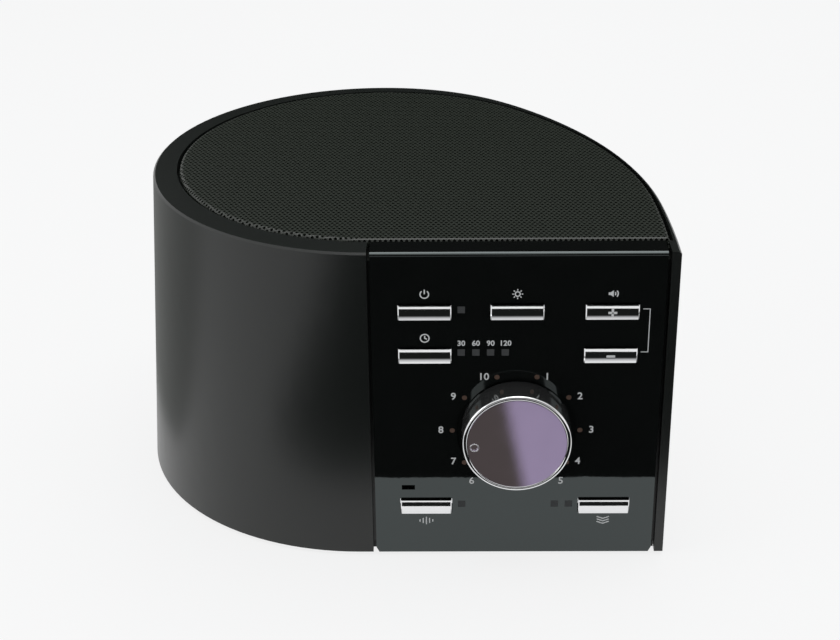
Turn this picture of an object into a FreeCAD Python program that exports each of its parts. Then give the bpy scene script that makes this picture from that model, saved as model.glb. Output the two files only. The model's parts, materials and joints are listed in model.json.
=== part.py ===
import FreeCAD, Part
import math
import os
import re
import Sketcher

# A bedside sound machine: a flared wrap-round cabinet with a flat front fascia, a perforated
# top grille over an upward-facing speaker, one large knob and seven sprung keys.
# X runs along the fascia, Y from the fascia to the back, Z up. While it is drawn, X is zero
# at the fascia's left edge, Y at its front face and Z at the cabinet's bottom rim; every
# piece is then placed so that the origin is under the middle of the whole object.

doc = FreeCAD.newDocument("sound_machine")

DRIVING = [
    ("body_height", 120.0, "cabinet, bottom rim to top rim"),
    ("right_wall", 3.2, "cabinet wall beside the fascia, right"),
    ("left_radius", 84.0, "round left side at the top rim"),
    ("flare", 2.3, "growth of that radius down to the bottom rim"),
    ("flare_shift", 6.0, "how far the round side's centre moves left at the bottom"),
    ("back_radius", 76.0, "back corner at the top rim"),
    ("first_turn", 44.0, "end of the back corner, degrees from the back"),
    ("second_turn", 85.0, "end of the side's middle arc, degrees from the back"),
    ("wall", 3.0, "cabinet wall"),
    ("deck_drop", 4.0, "top rim down to the speaker deck"),
    ("deck_thickness", 2.5, "speaker deck"),
    ("rim_round", 0.7, "bevel of the top rim"),
    ("panel_width", 100.0, "fascia"),
    ("panel_thickness", 2.8, "fascia"),
    ("panel_return", 9.5, "fascia's return over the top"),
    ("panel_round", 1.5, "rounded top front edge of the fascia"),
    ("panel_notch", 2.0, "bevel at the fascia's bottom corners"),
    ("seam_left", 1.1, "gap between fascia and cabinet, left"),
    ("seam_right", 1.2, "gap between fascia and cabinet, right"),
    ("panel_gap", 0.3, "clearance behind the fascia"),
    ("rib_depth", 2.0, "ribs of the cabinet behind the fascia's sides"),
    ("rib_overlap", 2.5, "those ribs behind the fascia"),
    ("rib_root", 0.9, "the left rib's reach into the front wall"),
    ("rim_left", 9.4, "top rim beside the grille, left"),
    ("rim_back", 6.5, "top rim behind the grille"),
    ("rim_right", 2.7, "top rim beside the grille, right"),
    ("grille_front", 10.3, "straight front edge of the grille"),
    ("grille_corner_growth", 1.0, "grille's back corner over the cabinet's, in radius"),
    ("grille_gap", 0.9, "gap round the grille"),
    ("grille_sheet", 0.8, "sheet metal of the grille"),
    ("grille_proud", 0.4, "grille above the top rim"),
    ("grille_bend", 1.6, "bend radius of the grille's skirt"),
    ("speaker_x", 8.0, "speaker axis, right of the round side's centre"),
    ("speaker_back", 2.0, "speaker axis, behind the round side's centre"),
    ("speaker_opening", 34.0, "radius of the hole in the deck"),
    ("speaker_rim", 6.5, "speaker frame past the hole in the deck"),
    ("speaker_screw_rim", 4.0, "speaker screws past the hole in the deck"),
    ("speaker_screw_bite", 1.8, "speaker screws in the deck"),
    ("speaker_plate", 1.2, "pressed steel of the speaker frame"),
    ("speaker_depth", 17.0, "flange to the bottom of the frame"),
    ("frame_lip", 2.5, "speaker frame inside the hole in the deck"),
    ("frame_slope", 2.16, "upright thickness of the frame's sloping side"),
    ("frame_ledge", 3.0, "flat foot of the frame past the magnet"),
    ("frame_windows", 6, "windows in the speaker frame"),
    ("frame_window_angle", 42.0, "windows in the speaker frame, degrees"),
    ("frame_window_foot", 4.5, "windows past the magnet"),
    ("frame_window_rim", 1.0, "windows inside the hole in the deck"),
    ("frame_window_margin", 2.4, "frame left whole above and below its windows"),
    ("gasket_thickness", 1.0, "foam ring under the deck"),
    ("gasket_inset", 1.0, "bore of that ring past the hole in the deck"),
    ("magnet_radius", 22.5, "speaker magnet"),
    ("magnet_height", 13.0, "speaker magnet"),
    ("coil_radius", 9.0, "inner edge of the cone"),
    ("coil_gap", 3.0, "hole in the frame's foot past the cone's inner edge"),
    ("cone_sheet", 0.6, "cone and surround"),
    ("cone_depth", 10.54, "cone, rim to inner edge"),
    ("cone_lip", 1.5, "flat lip of the cone"),
    ("cap_shoulder", 1.6, "dust cap, seat to shoulder"),
    ("cap_shoulder_radius", 5.4, "dust cap's shoulder"),
    ("cap_height", 2.2, "dust cap, seat to top"),
    ("roll_width", 5.5, "half roll of the surround"),
    ("surround_land", 0.5, "surround's outer edge past the hole in the deck"),
    ("surround_glue", 1.0, "surround's inner edge on the cone"),
    ("base_thickness", 2.5, "base plate"),
    ("base_gap", 0.25, "clearance round the base plate"),
    ("post_radius", 4.5, "screw posts in the cabinet"),
    ("screw_edge", 0.7, "cabinet screw heads in from the base plate's edge"),
    ("post_height", 13.5, "screw posts in the cabinet"),
    ("side_post_inset", 0.4, "right post further in than the others"),
    ("side_post_back", 13.5, "right post behind the front board"),
    ("vent_length", 34.0, "slots in the base plate"),
    ("vent_width", 2.4, "slots in the base plate"),
    ("vent_pitch", 6.0, "slots in the base plate"),
    ("vent_count", 6, "slots in the base plate"),
    ("foot_radius", 6.0, "rubber feet"),
    ("foot_proud", 1.5, "feet below the base plate"),
    ("foot_seat", 1.0, "recess that a foot sits in"),
    ("foot_front_right_inset", 18.2, "front right foot in from the cabinet's side"),
    ("foot_front_right_back", 31.2, "front right foot behind the fascia's face"),
    ("foot_front_left_inset", 11.859, "front left foot in from the round side"),
    ("foot_front_left_angle", 227.747, "front left foot round that side's centre, degrees"),
    ("foot_rear_left_inset", 21.1, "rear left foot in from the round side"),
    ("foot_rear_left_angle", 136.718, "rear left foot round that side's centre, degrees"),
    ("foot_rear_right_inset", 15.792, "rear right foot in from the back corner"),
    ("foot_rear_right_angle", 35.953, "rear right foot round that corner's centre, degrees"),
    ("knob_shift", 0.14, "knob axis, right of the fascia's middle"),
    ("knob_lift", 0.59, "knob axis, above the middle of the two rows of keys"),
    ("knob_radius", 19.05, "front of the knob"),
    ("knob_draft", 0.3, "foot of the knob over its front, in radius"),
    ("knob_proud", 9.9, "knob in front of the fascia"),
    ("knob_wall", 1.6, "side wall of the knob"),
    ("knob_hub", 5.0, "hub inside the knob"),
    ("ring_width", 1.7, "bright ring round the knob's face"),
    ("ring_depth", 1.0, "bright ring round the knob's face"),
    ("ring_bevel", 0.35, "bevels of that ring"),
    ("face_sink", 0.2, "knob face behind its ring"),
    ("pointer_radius", 1.5, "finger dimple in the knob's face"),
    ("pointer_inset", 4.15, "dimple in from the knob's edge"),
    ("pointer_angle", 95.0, "dimple, degrees from the top towards the left"),
    ("dish_gap", 1.65, "round recess behind the knob, past the knob's foot"),
    ("dish_depth", 1.2, "round recess behind the knob"),
    ("dial_margin", 1.45, "circle of lights past that recess"),
    ("dial_lights", 10, "lights round the knob"),
    ("dial_window", 0.9, "radius of one light window"),
    ("shaft_radius", 3.0, "encoder shaft"),
    ("shaft_gap", 0.05, "running clearance of the shaft"),
    ("shaft_flat", 2.25, "flat of the shaft from its axis"),
    ("shaft_flat_length", 4.95, "flat of the shaft"),
    ("bush_radius", 3.5, "threaded bush of the encoder"),
    ("bush_proud", 0.4, "bush in front of its nut"),
    ("nut_radius", 5.5, "encoder nut, across its corners"),
    ("nut_height", 2.0, "encoder nut"),
    ("encoder_side", 13.0, "encoder body"),
    ("encoder_depth", 6.5, "encoder body"),
    ("key_width", 18.2, "keys"),
    ("key_height", 5.5, "keys"),
    ("key_proud", 1.6, "keys in front of the fascia"),
    ("key_crown", 8.0, "radius of a key's crowned face"),
    ("key_bevel", 0.35, "bevels at a key's ends"),
    ("key_gap", 0.25, "clearance round a key"),
    ("key_flange", 1.0, "flange that keeps a key in"),
    ("key_flange_thickness", 1.2, "flange that keeps a key in"),
    ("key_travel", 0.6, "key travel"),
    ("key_stem", 1.6, "radius of a key's stem"),
    ("key_left", 18.3, "left column of keys"),
    ("key_middle_shift", 0.15, "middle key, left of the fascia's middle"),
    ("key_right_inset", 17.95, "right column of keys in from the fascia's edge"),
    ("key_top_inset", 21.8, "top row of keys below the top rim"),
    ("key_row", 16.7, "top row of keys to the second row"),
    ("key_low", 20.0, "bottom row of keys"),
    ("switch_side", 6.0, "switch body"),
    ("switch_height", 3.5, "switch body"),
    ("plunger_radius", 1.7, "switch plunger"),
    ("plunger_proud", 1.0, "switch plunger out of its body"),
    ("window_side", 2.5, "square status windows"),
    ("window_gap", 0.05, "clearance round a window"),
    ("window_offset", 3.4, "left status windows past a key's end"),
    ("window_pitch", 5.05, "spacing of status windows"),
    ("window_top_lift", 0.6, "status window above the top row's middle"),
    ("window_second_lift", 0.9, "status windows above the second row's middle"),
    ("window_low_lift", 0.7, "status windows above the bottom row's middle"),
    ("window_low_shift", 0.25, "lower left status window, right of the others"),
    ("window_right_offset", 8.55, "first status window before the lower right key"),
    ("mic_left", 6.35, "microphone slot, left of the left keys' middle"),
    ("mic_lift", 5.0, "microphone slot above the lower left key"),
    ("mic_slot_width", 4.7, "microphone slot"),
    ("mic_slot_height", 1.9, "microphone slot"),
    ("mic_radius", 3.0, "microphone"),
    ("mic_bore", 1.8, "sound channel of the microphone's gasket"),
    ("mic_depth", 2.7, "microphone"),
    ("board_thickness", 1.6, "circuit boards"),
    ("front_board_y", 12.0, "front face of the front board"),
    ("front_board_edge", 3.5, "front board in from the fascia's edges"),
    ("front_board_low", 7.0, "lower edge of the front board"),
    ("front_board_gap", 1.5, "upper edge of the front board below the deck"),
    ("boss_radius", 3.0, "bosses behind the fascia"),
    ("boss_inset", 7.0, "bosses in from the fascia's edges"),
    ("boss_edge", 1.0, "bosses in from the front board's edges"),
    ("screw_radius", 1.0, "small screws"),
    ("screw_head", 2.1, "heads of the small screws"),
    ("screw_head_height", 1.3, "heads of the small screws"),
    ("screw_length", 6.0, "small screws"),
    ("screw_gap", 0.05, "clearance round a screw"),
    ("pilot_spare", 0.5, "pilot holes of the main board past their screws"),
    ("deck_pilot_spare", 0.2, "pilot holes in the deck past their screws"),
    ("case_screw_radius", 1.4, "cabinet screws"),
    ("case_screw_head", 2.8, "heads of the cabinet screws"),
    ("case_screw_head_height", 1.2, "heads of the cabinet screws"),
    ("case_screw_sink", 1.4, "recess for those heads"),
    ("case_screw_length", 9.0, "cabinet screws"),
    ("light_side", 1.6, "light chips"),
    ("light_height", 1.2, "light chips"),
    ("light_gap", 0.3, "chip to its window's light guide"),
    ("main_board_x", -4.0, "middle of the main board"),
    ("main_board_width", 60.0, "main board"),
    ("main_board_length", 49.0, "main board"),
    ("main_board_setback", 10.0, "main board in front of the socket wall"),
    ("main_board_post", 6.0, "posts under the main board"),
    ("main_board_inset", 4.0, "posts in from the main board's edges"),
    ("sound_chip_side", 10.0, "sound chip"),
    ("sound_chip_height", 1.6, "sound chip"),
    ("amplifier_right", 15.0, "amplifier chip from the main board's middle"),
    ("amplifier_back", 1.0, "amplifier chip from the main board's middle"),
    ("amplifier_width", 6.0, "amplifier chip"),
    ("amplifier_length", 8.0, "amplifier chip"),
    ("amplifier_height", 1.8, "amplifier chip"),
    ("memory_left", 15.0, "memory chip from the main board's middle"),
    ("memory_width", 8.0, "memory chip"),
    ("memory_length", 6.0, "memory chip"),
    ("memory_height", 1.5, "memory chip"),
    ("capacitor_back", 12.0, "both capacitors behind the main board's middle"),
    ("capacitor_right", 19.0, "large capacitor from the main board's middle"),
    ("capacitor_radius", 4.0, "large capacitor"),
    ("capacitor_height", 11.0, "large capacitor"),
    ("small_capacitor_left", 21.0, "small capacitor from the main board's middle"),
    ("small_capacitor_radius", 3.2, "small capacitor"),
    ("small_capacitor_height", 9.0, "small capacitor"),
    ("choke_offset", 10.5, "choke from the main board's middle, right and back"),
    ("choke_side", 5.0, "choke"),
    ("choke_height", 3.0, "choke"),
    ("jack_recess_depth", 4.6, "socket recess"),
    ("jack_wall", 3.0, "wall behind the socket recess"),
    ("jack_border", 2.0, "that wall past the recess, all round"),
    ("jack_root", 0.6, "that wall's reach into the cabinet's wall"),
    ("jack_recess_width", 32.0, "socket recess"),
    ("jack_recess_low", 6.0, "socket recess"),
    ("jack_recess_top", 25.0, "socket recess"),
    ("jack_spacing", 16.0, "spacing of the two sockets"),
    ("jack_length", 14.0, "socket bodies"),
    ("power_depth", 9.5, "depth of the power socket"),
    ("phone_depth", 14.0, "depth of the headphone socket"),
    ("jack_gap", 0.1, "clearance round a socket's nose"),
    ("power_jack_width", 9.0, "power socket body"),
    ("power_jack_height", 11.0, "power socket body"),
    ("power_nose", 3.8, "radius of the power socket's nose"),
    ("power_bore", 2.85, "radius of the power socket's bore"),
    ("power_pin", 1.0, "radius of the power socket's pin"),
    ("pin_inset", 1.0, "that pin's tip inside the socket"),
    ("phone_jack_width", 7.0, "headphone socket body"),
    ("phone_jack_height", 6.4, "headphone socket body"),
    ("phone_nose", 2.9, "radius of the headphone socket's nose"),
    ("phone_bore", 1.8, "radius of the headphone socket's bore"),
    ("cable_width", 12.0, "flat cable between the boards"),
    ("cable_thickness", 0.8, "flat cable between the boards"),
    ("cable_sag", 160.0, "radius of the flat cable's sag"),
    ("socket_depth", 5.0, "flat cable sockets"),
    ("socket_height", 6.0, "flat cable sockets"),
    ("socket_margin", 1.0, "flat cable sockets past the cable's edges"),
]

sizes = doc.addObject("Spreadsheet::Sheet", "Sizes")
for row, (alias, value, note) in enumerate(DRIVING, start=1):
    sizes.set(f"A{row}", alias)
    sizes.set(f"B{row}", str(value))
    sizes.set(f"C{row}", note)
    sizes.setAlias(f"B{row}", alias)

# Places that follow from the sizes. A wrap outline is a round left side, a back corner, a
# middle arc and a front arc, each tangent to the next, closed by a straight front line.
DERIVED = [
    ("sine_one", "sin(first_turn)"),
    ("cosine_one", "cos(first_turn)"),
    ("sine_two", "sin(second_turn)"),
    ("cosine_two", "cos(second_turn)"),
    ("turn_factor", "(sine_two - sine_one) * cosine_two - (1 - sine_two) * (cosine_one - cosine_two)"),
    ("deck_top", "body_height - deck_drop"),
    ("deck_bottom", "deck_top - deck_thickness"),
    ("rise", "deck_bottom / body_height"),
    ("body_right", "panel_width + seam_right + right_wall"),
    ("grille_radius", "left_radius - (rim_back + grille_front) / 2"),
    ("grille_centre", "rim_left - left_radius + grille_radius"),
    ("grille_right", "body_right - rim_right"),
    ("grille_back_radius", "back_radius + grille_corner_growth"),
]
WRAPS = {
    "low": ("-flare_shift", "left_radius + flare", "0", "body_right", "back_radius + flare", "0"),
    "cavity": ("-flare_shift * (1 - rise)", "left_radius + flare * (1 - rise)", "0", "body_right",
               "back_radius + flare * (1 - rise)", "0"),
    "high": ("0", "left_radius", "0", "body_right", "back_radius", "0"),
    "grille": ("grille_centre", "grille_radius", "grille_front", "grille_right",
               "grille_back_radius", "grille_front"),
}
for wrap, (centre, radius, start, right, back, end) in WRAPS.items():
    DERIVED += [
        (f"{wrap}_centre_x", centre),
        (f"{wrap}_left_radius", radius),
        (f"{wrap}_centre_y", f"{start} + {wrap}_left_radius"),
        (f"{wrap}_corner_radius", back),
        (f"{wrap}_corner_y", f"{wrap}_centre_y + {wrap}_left_radius - {wrap}_corner_radius"),
        (f"{wrap}_across", f"{right} - {wrap}_centre_x - {wrap}_corner_radius * sine_one"),
        (f"{wrap}_along", f"{wrap}_corner_y + {wrap}_corner_radius * cosine_one - {end}"),
        (f"{wrap}_middle_radius",
         f"({wrap}_across * cosine_two - (1 - sine_two) * {wrap}_along) / turn_factor"),
        (f"{wrap}_front_radius",
         f"((sine_two - sine_one) * {wrap}_along - (cosine_one - cosine_two) * {wrap}_across)"
         " / turn_factor"),
        (f"{wrap}_middle_x",
         f"{wrap}_centre_x + ({wrap}_corner_radius - {wrap}_middle_radius) * sine_one"),
        (f"{wrap}_middle_y",
         f"{wrap}_corner_y + ({wrap}_corner_radius - {wrap}_middle_radius) * cosine_one"),
        (f"{wrap}_front_x", f"{right} - {wrap}_front_radius"),
        (f"{wrap}_front_y", end),
    ]
DERIVED += [
    ("body_left", "low_centre_x - low_left_radius"),
    ("body_back", "2 * low_left_radius"),
    ("origin_x", "-(body_left + body_right) / 2"),
    ("origin_y", "-(body_back - knob_proud) / 2"),
    ("origin_z", "foot_proud"),
    ("base_inset", "wall + base_gap"),
    ("post_inset", "base_inset + case_screw_head + screw_edge"),
    ("panel_back", "panel_thickness + panel_gap"),
    ("speaker_y", "left_radius + speaker_back"),
    ("speaker_z", "deck_bottom"),
    ("speaker_flange", "speaker_opening + speaker_rim"),
    ("speaker_screw_circle", "speaker_opening + speaker_screw_rim"),
    ("gasket_bore", "speaker_opening + gasket_inset"),
    ("key_right", "panel_width - key_right_inset"),
    ("key_middle", "panel_width / 2 - key_middle_shift"),
    ("key_top", "body_height - key_top_inset"),
    ("key_second", "key_top - key_row"),
    ("window_x", "key_left + key_width / 2 + window_offset"),
    ("window_low_x", "window_x + window_low_shift"),
    ("window_right_x", "key_right - key_width / 2 - window_right_offset"),
    ("window_top", "key_top + window_top_lift"),
    ("window_second", "key_second + window_second_lift"),
    ("window_low", "key_low + window_low_lift"),
    ("mic_x", "key_left - mic_left"),
    ("mic_z", "key_low + key_height / 2 + mic_lift"),
    ("knob_x", "panel_width / 2 + knob_shift"),
    ("knob_z", "(key_low + key_second) / 2 + knob_lift"),
    ("knob_base", "knob_radius + knob_draft"),
    ("pointer_reach", "knob_radius - pointer_inset"),
    ("dish_radius", "knob_base + dish_gap"),
    ("dial_radius", "dish_radius + dial_margin"),
    ("bush_tip", "dish_depth - nut_height - bush_proud"),
    ("front_board_top", "deck_bottom - front_board_gap"),
    ("flange_front", "panel_back"),
    ("flange_back", "flange_front + key_flange_thickness"),
    ("switch_front", "front_board_y - switch_height"),
    ("plunger_front", "switch_front - plunger_proud"),
    ("plunger_length", "2 * plunger_proud + key_travel"),
    ("plunger_bore", "plunger_length - plunger_proud + key_travel + window_gap"),
    ("front_board_back", "front_board_y + board_thickness"),
    ("knob_front_plate", "ring_depth - knob_proud"),
    ("jack_face", "body_back - jack_recess_depth"),
    ("jack_inner", "jack_face - jack_wall"),
    ("main_board_rear", "jack_inner - main_board_setback"),
    ("main_board_front", "main_board_rear - main_board_length"),
    ("main_board_y", "(main_board_front + main_board_rear) / 2"),
    ("main_board_z", "base_thickness + main_board_post"),
    ("main_board_top", "main_board_z + board_thickness"),
    ("power_jack_x", "main_board_x + jack_spacing / 2"),
    ("phone_jack_x", "main_board_x - jack_spacing / 2"),
    ("power_jack_z", "main_board_top + power_jack_height / 2"),
    ("phone_jack_z", "main_board_top + phone_jack_height / 2"),
    ("cable_front", "front_board_back + socket_depth"),
    ("cable_rear", "main_board_front + main_board_inset + socket_depth / 2"),
    ("cable_front_z", "front_board_low + socket_height"),
    ("cable_rear_z", "main_board_top + socket_height / 2"),
]

places = doc.addObject("Spreadsheet::Sheet", "Places")
SIZE_NAMES = {alias for alias, value, note in DRIVING}
PLACE_NAMES = {alias for alias, formula in DERIVED}


def full(text, inside_places=False):
    """Write a formula's plain names as cells of the two sheets."""
    def cell(match):
        word = match.group(0)
        if word in SIZE_NAMES:
            return "Sizes." + word
        if word in PLACE_NAMES and not inside_places:
            return "Places." + word
        return word
    return re.sub(r"[a-z][a-z0-9_]*", cell, text)


for row, (alias, formula) in enumerate(DERIVED, start=1):
    places.set(f"A{row}", alias)
    places.set(f"B{row}", "=" + full(formula, inside_places=True))
    places.setAlias(f"B{row}", alias)
doc.recompute()


def value_of(text):
    return float(sizes.evalExpression(full(text)))


def bind(thing, prop, text):
    thing.setExpression(prop, full(text))


def settle(thing, label, x="0", y="0", z="0"):
    """Give a finished sub-part its name and carry it from the drawing to the part's origin."""
    thing.Label = label
    bind(thing, "Placement.Base.x", f"origin_x + {x}")
    bind(thing, "Placement.Base.y", f"origin_y + {y}")
    bind(thing, "Placement.Base.z", f"origin_z + {z}")
    finished.append(thing)
    return thing


finished = []

# Two places closer than this, in millimetres, are the same place.
CLOSE = 0.001


# Sketches and features

def new_sketch(body, name, role, where):
    """A sketch on a plane of the body: XY at a height, XZ at a depth, YZ at a distance along X."""
    plane = next(item for item in body.Origin.OriginFeatures if item.Role == role)
    sketch = body.newObject("Sketcher::SketchObject", name)
    sketch.AttachmentSupport = [(plane, "")]
    sketch.MapMode = "FlatFace"
    sign = "-" if role == "XZ_Plane" else ""
    bind(sketch, "AttachmentOffset.Base.z", f"{sign}({where})")
    return sketch


def arc_between(first, last, radius):
    """The short arc from first to last; a positive radius turns right, a negative one left."""
    chord = last - first
    half = chord.Length / 2
    rise = math.sqrt(max(radius * radius - half * half, 0.0))
    side = FreeCAD.Vector(chord.y, -chord.x, 0).normalize()
    if radius < 0:
        side = side * -1
    centre = (first + last) * 0.5 + side * rise
    middle = centre - side * abs(radius)
    if radius > 0:
        first, last = last, first
    return Part.Arc(first, middle, last)


def draw_path(sketch, points, arcs=None):
    """Draw a closed path; arcs gives the radius of each stretch that is round."""
    arcs = arcs or {}
    spots = [FreeCAD.Vector(value_of(x), value_of(y), 0) for x, y in points]
    ends = []
    for index, spot in enumerate(spots):
        following = spots[(index + 1) % len(spots)]
        if index in arcs:
            arc = arc_between(spot, following, value_of(arcs[index]))
            number = sketch.addGeometry(arc, False)
            forward = sketch.Geometry[number].StartPoint.distanceToPoint(spot) < CLOSE
            ends.append((number, 1, 2) if forward else (number, 2, 1))
        else:
            number = sketch.addGeometry(Part.LineSegment(spot, following), False)
            ends.append((number, 1, 2))
    for index, (number, begin, finish) in enumerate(ends):
        after, after_begin = ends[(index + 1) % len(ends)][:2]
        sketch.addConstraint(Sketcher.Constraint("Coincident", number, finish, after, after_begin))
    for index, (x, y) in enumerate(points):
        number, begin, finish = ends[index]
        for kind, text, amount in (("DistanceX", x, spots[index].x), ("DistanceY", y, spots[index].y)):
            place = sketch.addConstraint(
                Sketcher.Constraint(kind, -1, 1, number, begin, amount))
            bind(sketch, f"Constraints[{place}]", text)
        if index in arcs:
            radius = arcs[index].lstrip("-")
            place = sketch.addConstraint(Sketcher.Constraint("Radius", number, value_of(radius)))
            bind(sketch, f"Constraints[{place}]", radius)
    return sketch


def draw_rectangle(sketch, left, low, right, high):
    return draw_path(sketch, [(left, low), (right, low), (right, high), (left, high)])


def draw_circle(sketch, x, y, radius):
    centre = FreeCAD.Vector(value_of(x), value_of(y), 0)
    number = sketch.addGeometry(
        Part.Circle(centre, FreeCAD.Vector(0, 0, 1), value_of(radius)), False)
    for kind, text, amount in (("DistanceX", x, centre.x), ("DistanceY", y, centre.y)):
        place = sketch.addConstraint(Sketcher.Constraint(kind, -1, 1, number, 3, amount))
        bind(sketch, f"Constraints[{place}]", text)
    place = sketch.addConstraint(Sketcher.Constraint("Radius", number, value_of(radius)))
    bind(sketch, f"Constraints[{place}]", radius)
    return sketch


def draw_wrap(sketch, wrap, inset):
    """Draw a wrap outline, moved in by inset all round."""
    reach = f"{wrap}_left_radius - ({inset})"
    front = f"{wrap}_front_y + {inset}"
    corner = f"{wrap}_corner_radius - ({inset})"
    middle = f"{wrap}_middle_radius - ({inset})"
    side = f"{wrap}_front_radius - ({inset})"
    points = [
        (f"{wrap}_front_x + sqrt(({side})^2 - ({inset})^2)", front),
        (f"{wrap}_centre_x", front),
        (f"{wrap}_centre_x - ({reach})", f"{wrap}_centre_y"),
        (f"{wrap}_centre_x", f"{wrap}_centre_y + {reach}"),
        (f"{wrap}_centre_x + ({corner}) * sine_one", f"{wrap}_corner_y + ({corner}) * cosine_one"),
        (f"{wrap}_middle_x + ({middle}) * sine_two", f"{wrap}_middle_y + ({middle}) * cosine_two"),
    ]
    return draw_path(sketch, points, {1: reach, 2: reach, 3: corner, 4: middle, 5: side})


def extrude(body, kind, sketch, length, reverse=False):
    feature = body.newObject("PartDesign::" + kind, sketch.Name + "_" + kind.lower())
    feature.Profile = sketch
    bind(feature, "Length", length)
    feature.Reversed = reverse
    return feature


def revolve(body, sketch, kind="Revolution"):
    feature = body.newObject("PartDesign::" + kind, sketch.Name + "_turn")
    feature.Profile = sketch
    feature.ReferenceAxis = (sketch, ["V_Axis"])
    feature.Angle = 360
    return feature


def loft(body, kind, first, last):
    feature = body.newObject("PartDesign::" + kind, first.Name + "_loft")
    feature.Profile = first
    feature.Sections = [last]
    feature.Ruled = True
    return feature


def pad_back(body, name, where, length, draw):
    """Pad a front-view drawing from the depth where towards the back."""
    sketch = new_sketch(body, name, "XZ_Plane", where)
    draw(sketch)
    return extrude(body, "Pad", sketch, length, reverse=True)


def cut_back(body, name, where, length, draw):
    """Cut a front-view drawing from the depth where towards the back."""
    sketch = new_sketch(body, name, "XZ_Plane", where)
    draw(sketch)
    return extrude(body, "Pocket", sketch, length)


def pad_up(body, name, where, length, draw):
    sketch = new_sketch(body, name, "XY_Plane", where)
    draw(sketch)
    return extrude(body, "Pad", sketch, length)


def cut_down(body, name, where, length, draw):
    sketch = new_sketch(body, name, "XY_Plane", where)
    draw(sketch)
    return extrude(body, "Pocket", sketch, length)


def round_edges(body, name, radius, chosen, kind="Fillet"):
    """Round the edges of the body's last feature that the test chooses."""
    doc.recompute()
    base = body.Tip
    names = [f"Edge{number}" for number, edge in enumerate(base.Shape.Edges, start=1) if chosen(edge)]
    feature = body.newObject("PartDesign::" + kind, name)
    feature.Base = (base, names)
    bind(feature, "Radius" if kind == "Fillet" else "Size", radius)
    return feature


def new_body(name):
    return doc.addObject("PartDesign::Body", name)


# Simple solids and groups

def block(name, x, y, z, along, deep, high):
    solid = doc.addObject("Part::Box", name)
    for prop, text in (("Length", along), ("Width", deep), ("Height", high)):
        bind(solid, prop, text)
    place_at(solid, x, y, z)
    return solid


def rod(name, x, y, z, radius, length, along_y=False):
    solid = doc.addObject("Part::Cylinder", name)
    bind(solid, "Radius", radius)
    bind(solid, "Height", length)
    if along_y:
        turn = FreeCAD.Rotation(FreeCAD.Vector(1, 0, 0), -90)
        solid.Placement = FreeCAD.Placement(FreeCAD.Vector(), turn)
    place_at(solid, x, y, z)
    return solid


def place_at(solid, x, y, z):
    for axis, text in (("x", x), ("y", y), ("z", z)):
        bind(solid, f"Placement.Base.{axis}", text)


def cut(name, base, tools):
    if len(tools) > 1:
        tool = doc.addObject("Part::MultiFuse", name + "_tools")
        tool.Shapes = tools
    else:
        tool = tools[0]
    result = doc.addObject("Part::Cut", name)
    result.Base = base
    result.Tool = tool
    return result


def join(name, pieces):
    result = doc.addObject("Part::MultiFuse", name)
    result.Shapes = pieces
    return result


def group(label, pieces, x="0", y="0", z="0"):
    result = doc.addObject("Part::Compound", label)
    result.Links = pieces
    return settle(result, label, x, y, z)


# Places that repeat

KEYS = {
    "power_key": ("key_left", "key_top"),
    "display_key": ("key_middle", "key_top"),
    "timer_key": ("key_left", "key_second"),
    "volume_up_key": ("key_right", "key_top"),
    "volume_down_key": ("key_right", "key_second"),
    "auto_level_key": ("key_left", "key_low"),
    "layer_key": ("key_right", "key_low"),
}
WINDOWS = [("window_x", "window_top"), ("window_low_x", "window_low")]
WINDOWS += [(f"window_x + {step} * window_pitch", "window_second") for step in range(4)]
WINDOWS += [(f"window_right_x + {step} * window_pitch", "window_low") for step in range(2)]
BOSSES = [(x, z) for x in ("boss_inset", "panel_width - boss_inset")
          for z in ("front_board_low + boss_radius + boss_edge",
                    "front_board_top - boss_radius - boss_edge")]


def round_place(side, inset, angle):
    """A place in from one of the cabinet's arcs, at an angle round that arc's centre."""
    reach = f"(low_{side}_radius - {inset})"
    centre_y = "low_centre_y" if side == "left" else "low_corner_y"
    return f"low_centre_x + {reach} * cos({angle})", f"{centre_y} + {reach} * sin({angle})"


POSTS = [round_place("left", "post_inset", angle) for angle in (240, 180, 120)]
POSTS.append(round_place("corner", "post_inset", "90 - first_turn"))
POSTS.append(("body_right - post_inset - side_post_inset", "front_board_y + side_post_back"))
FEET = {
    "foot_front_left": round_place("left", "foot_front_left_inset", "foot_front_left_angle"),
    "foot_front_right": ("body_right - foot_front_right_inset", "foot_front_right_back"),
    "foot_rear_left": round_place("left", "foot_rear_left_inset", "foot_rear_left_angle"),
    "foot_rear_right": round_place("corner", "foot_rear_right_inset", "foot_rear_right_angle"),
}
BOARD_POSTS = [(f"main_board_x + {side} * (main_board_width / 2 - main_board_inset)", y)
               for side in (-1, 1)
               for y in ("main_board_front + main_board_inset", "main_board_rear - main_board_inset")]
SPEAKER_SCREWS = [(f"speaker_screw_circle * cos({angle})", f"speaker_screw_circle * sin({angle})")
                  for angle in (45, 135, 225, 315)]


def dots(spots, radius):
    """A drawing of equal circles."""
    def draw(sketch):
        for x, y in spots:
            draw_circle(sketch, x, y, radius)
    return draw


def rectangle(left, low, right, high):
    return lambda sketch: draw_rectangle(sketch, left, low, right, high)


def centred(x, z, width, height):
    return rectangle(f"{x} - ({width}) / 2", f"{z} - ({height}) / 2",
                     f"{x} + ({width}) / 2", f"{z} + ({height}) / 2")


def many(drawings):
    def draw(sketch):
        for drawing in drawings:
            drawing(sketch)
    return draw


def wrapped(wrap, inset):
    return lambda sketch: draw_wrap(sketch, wrap, inset)


# Cabinet

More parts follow.
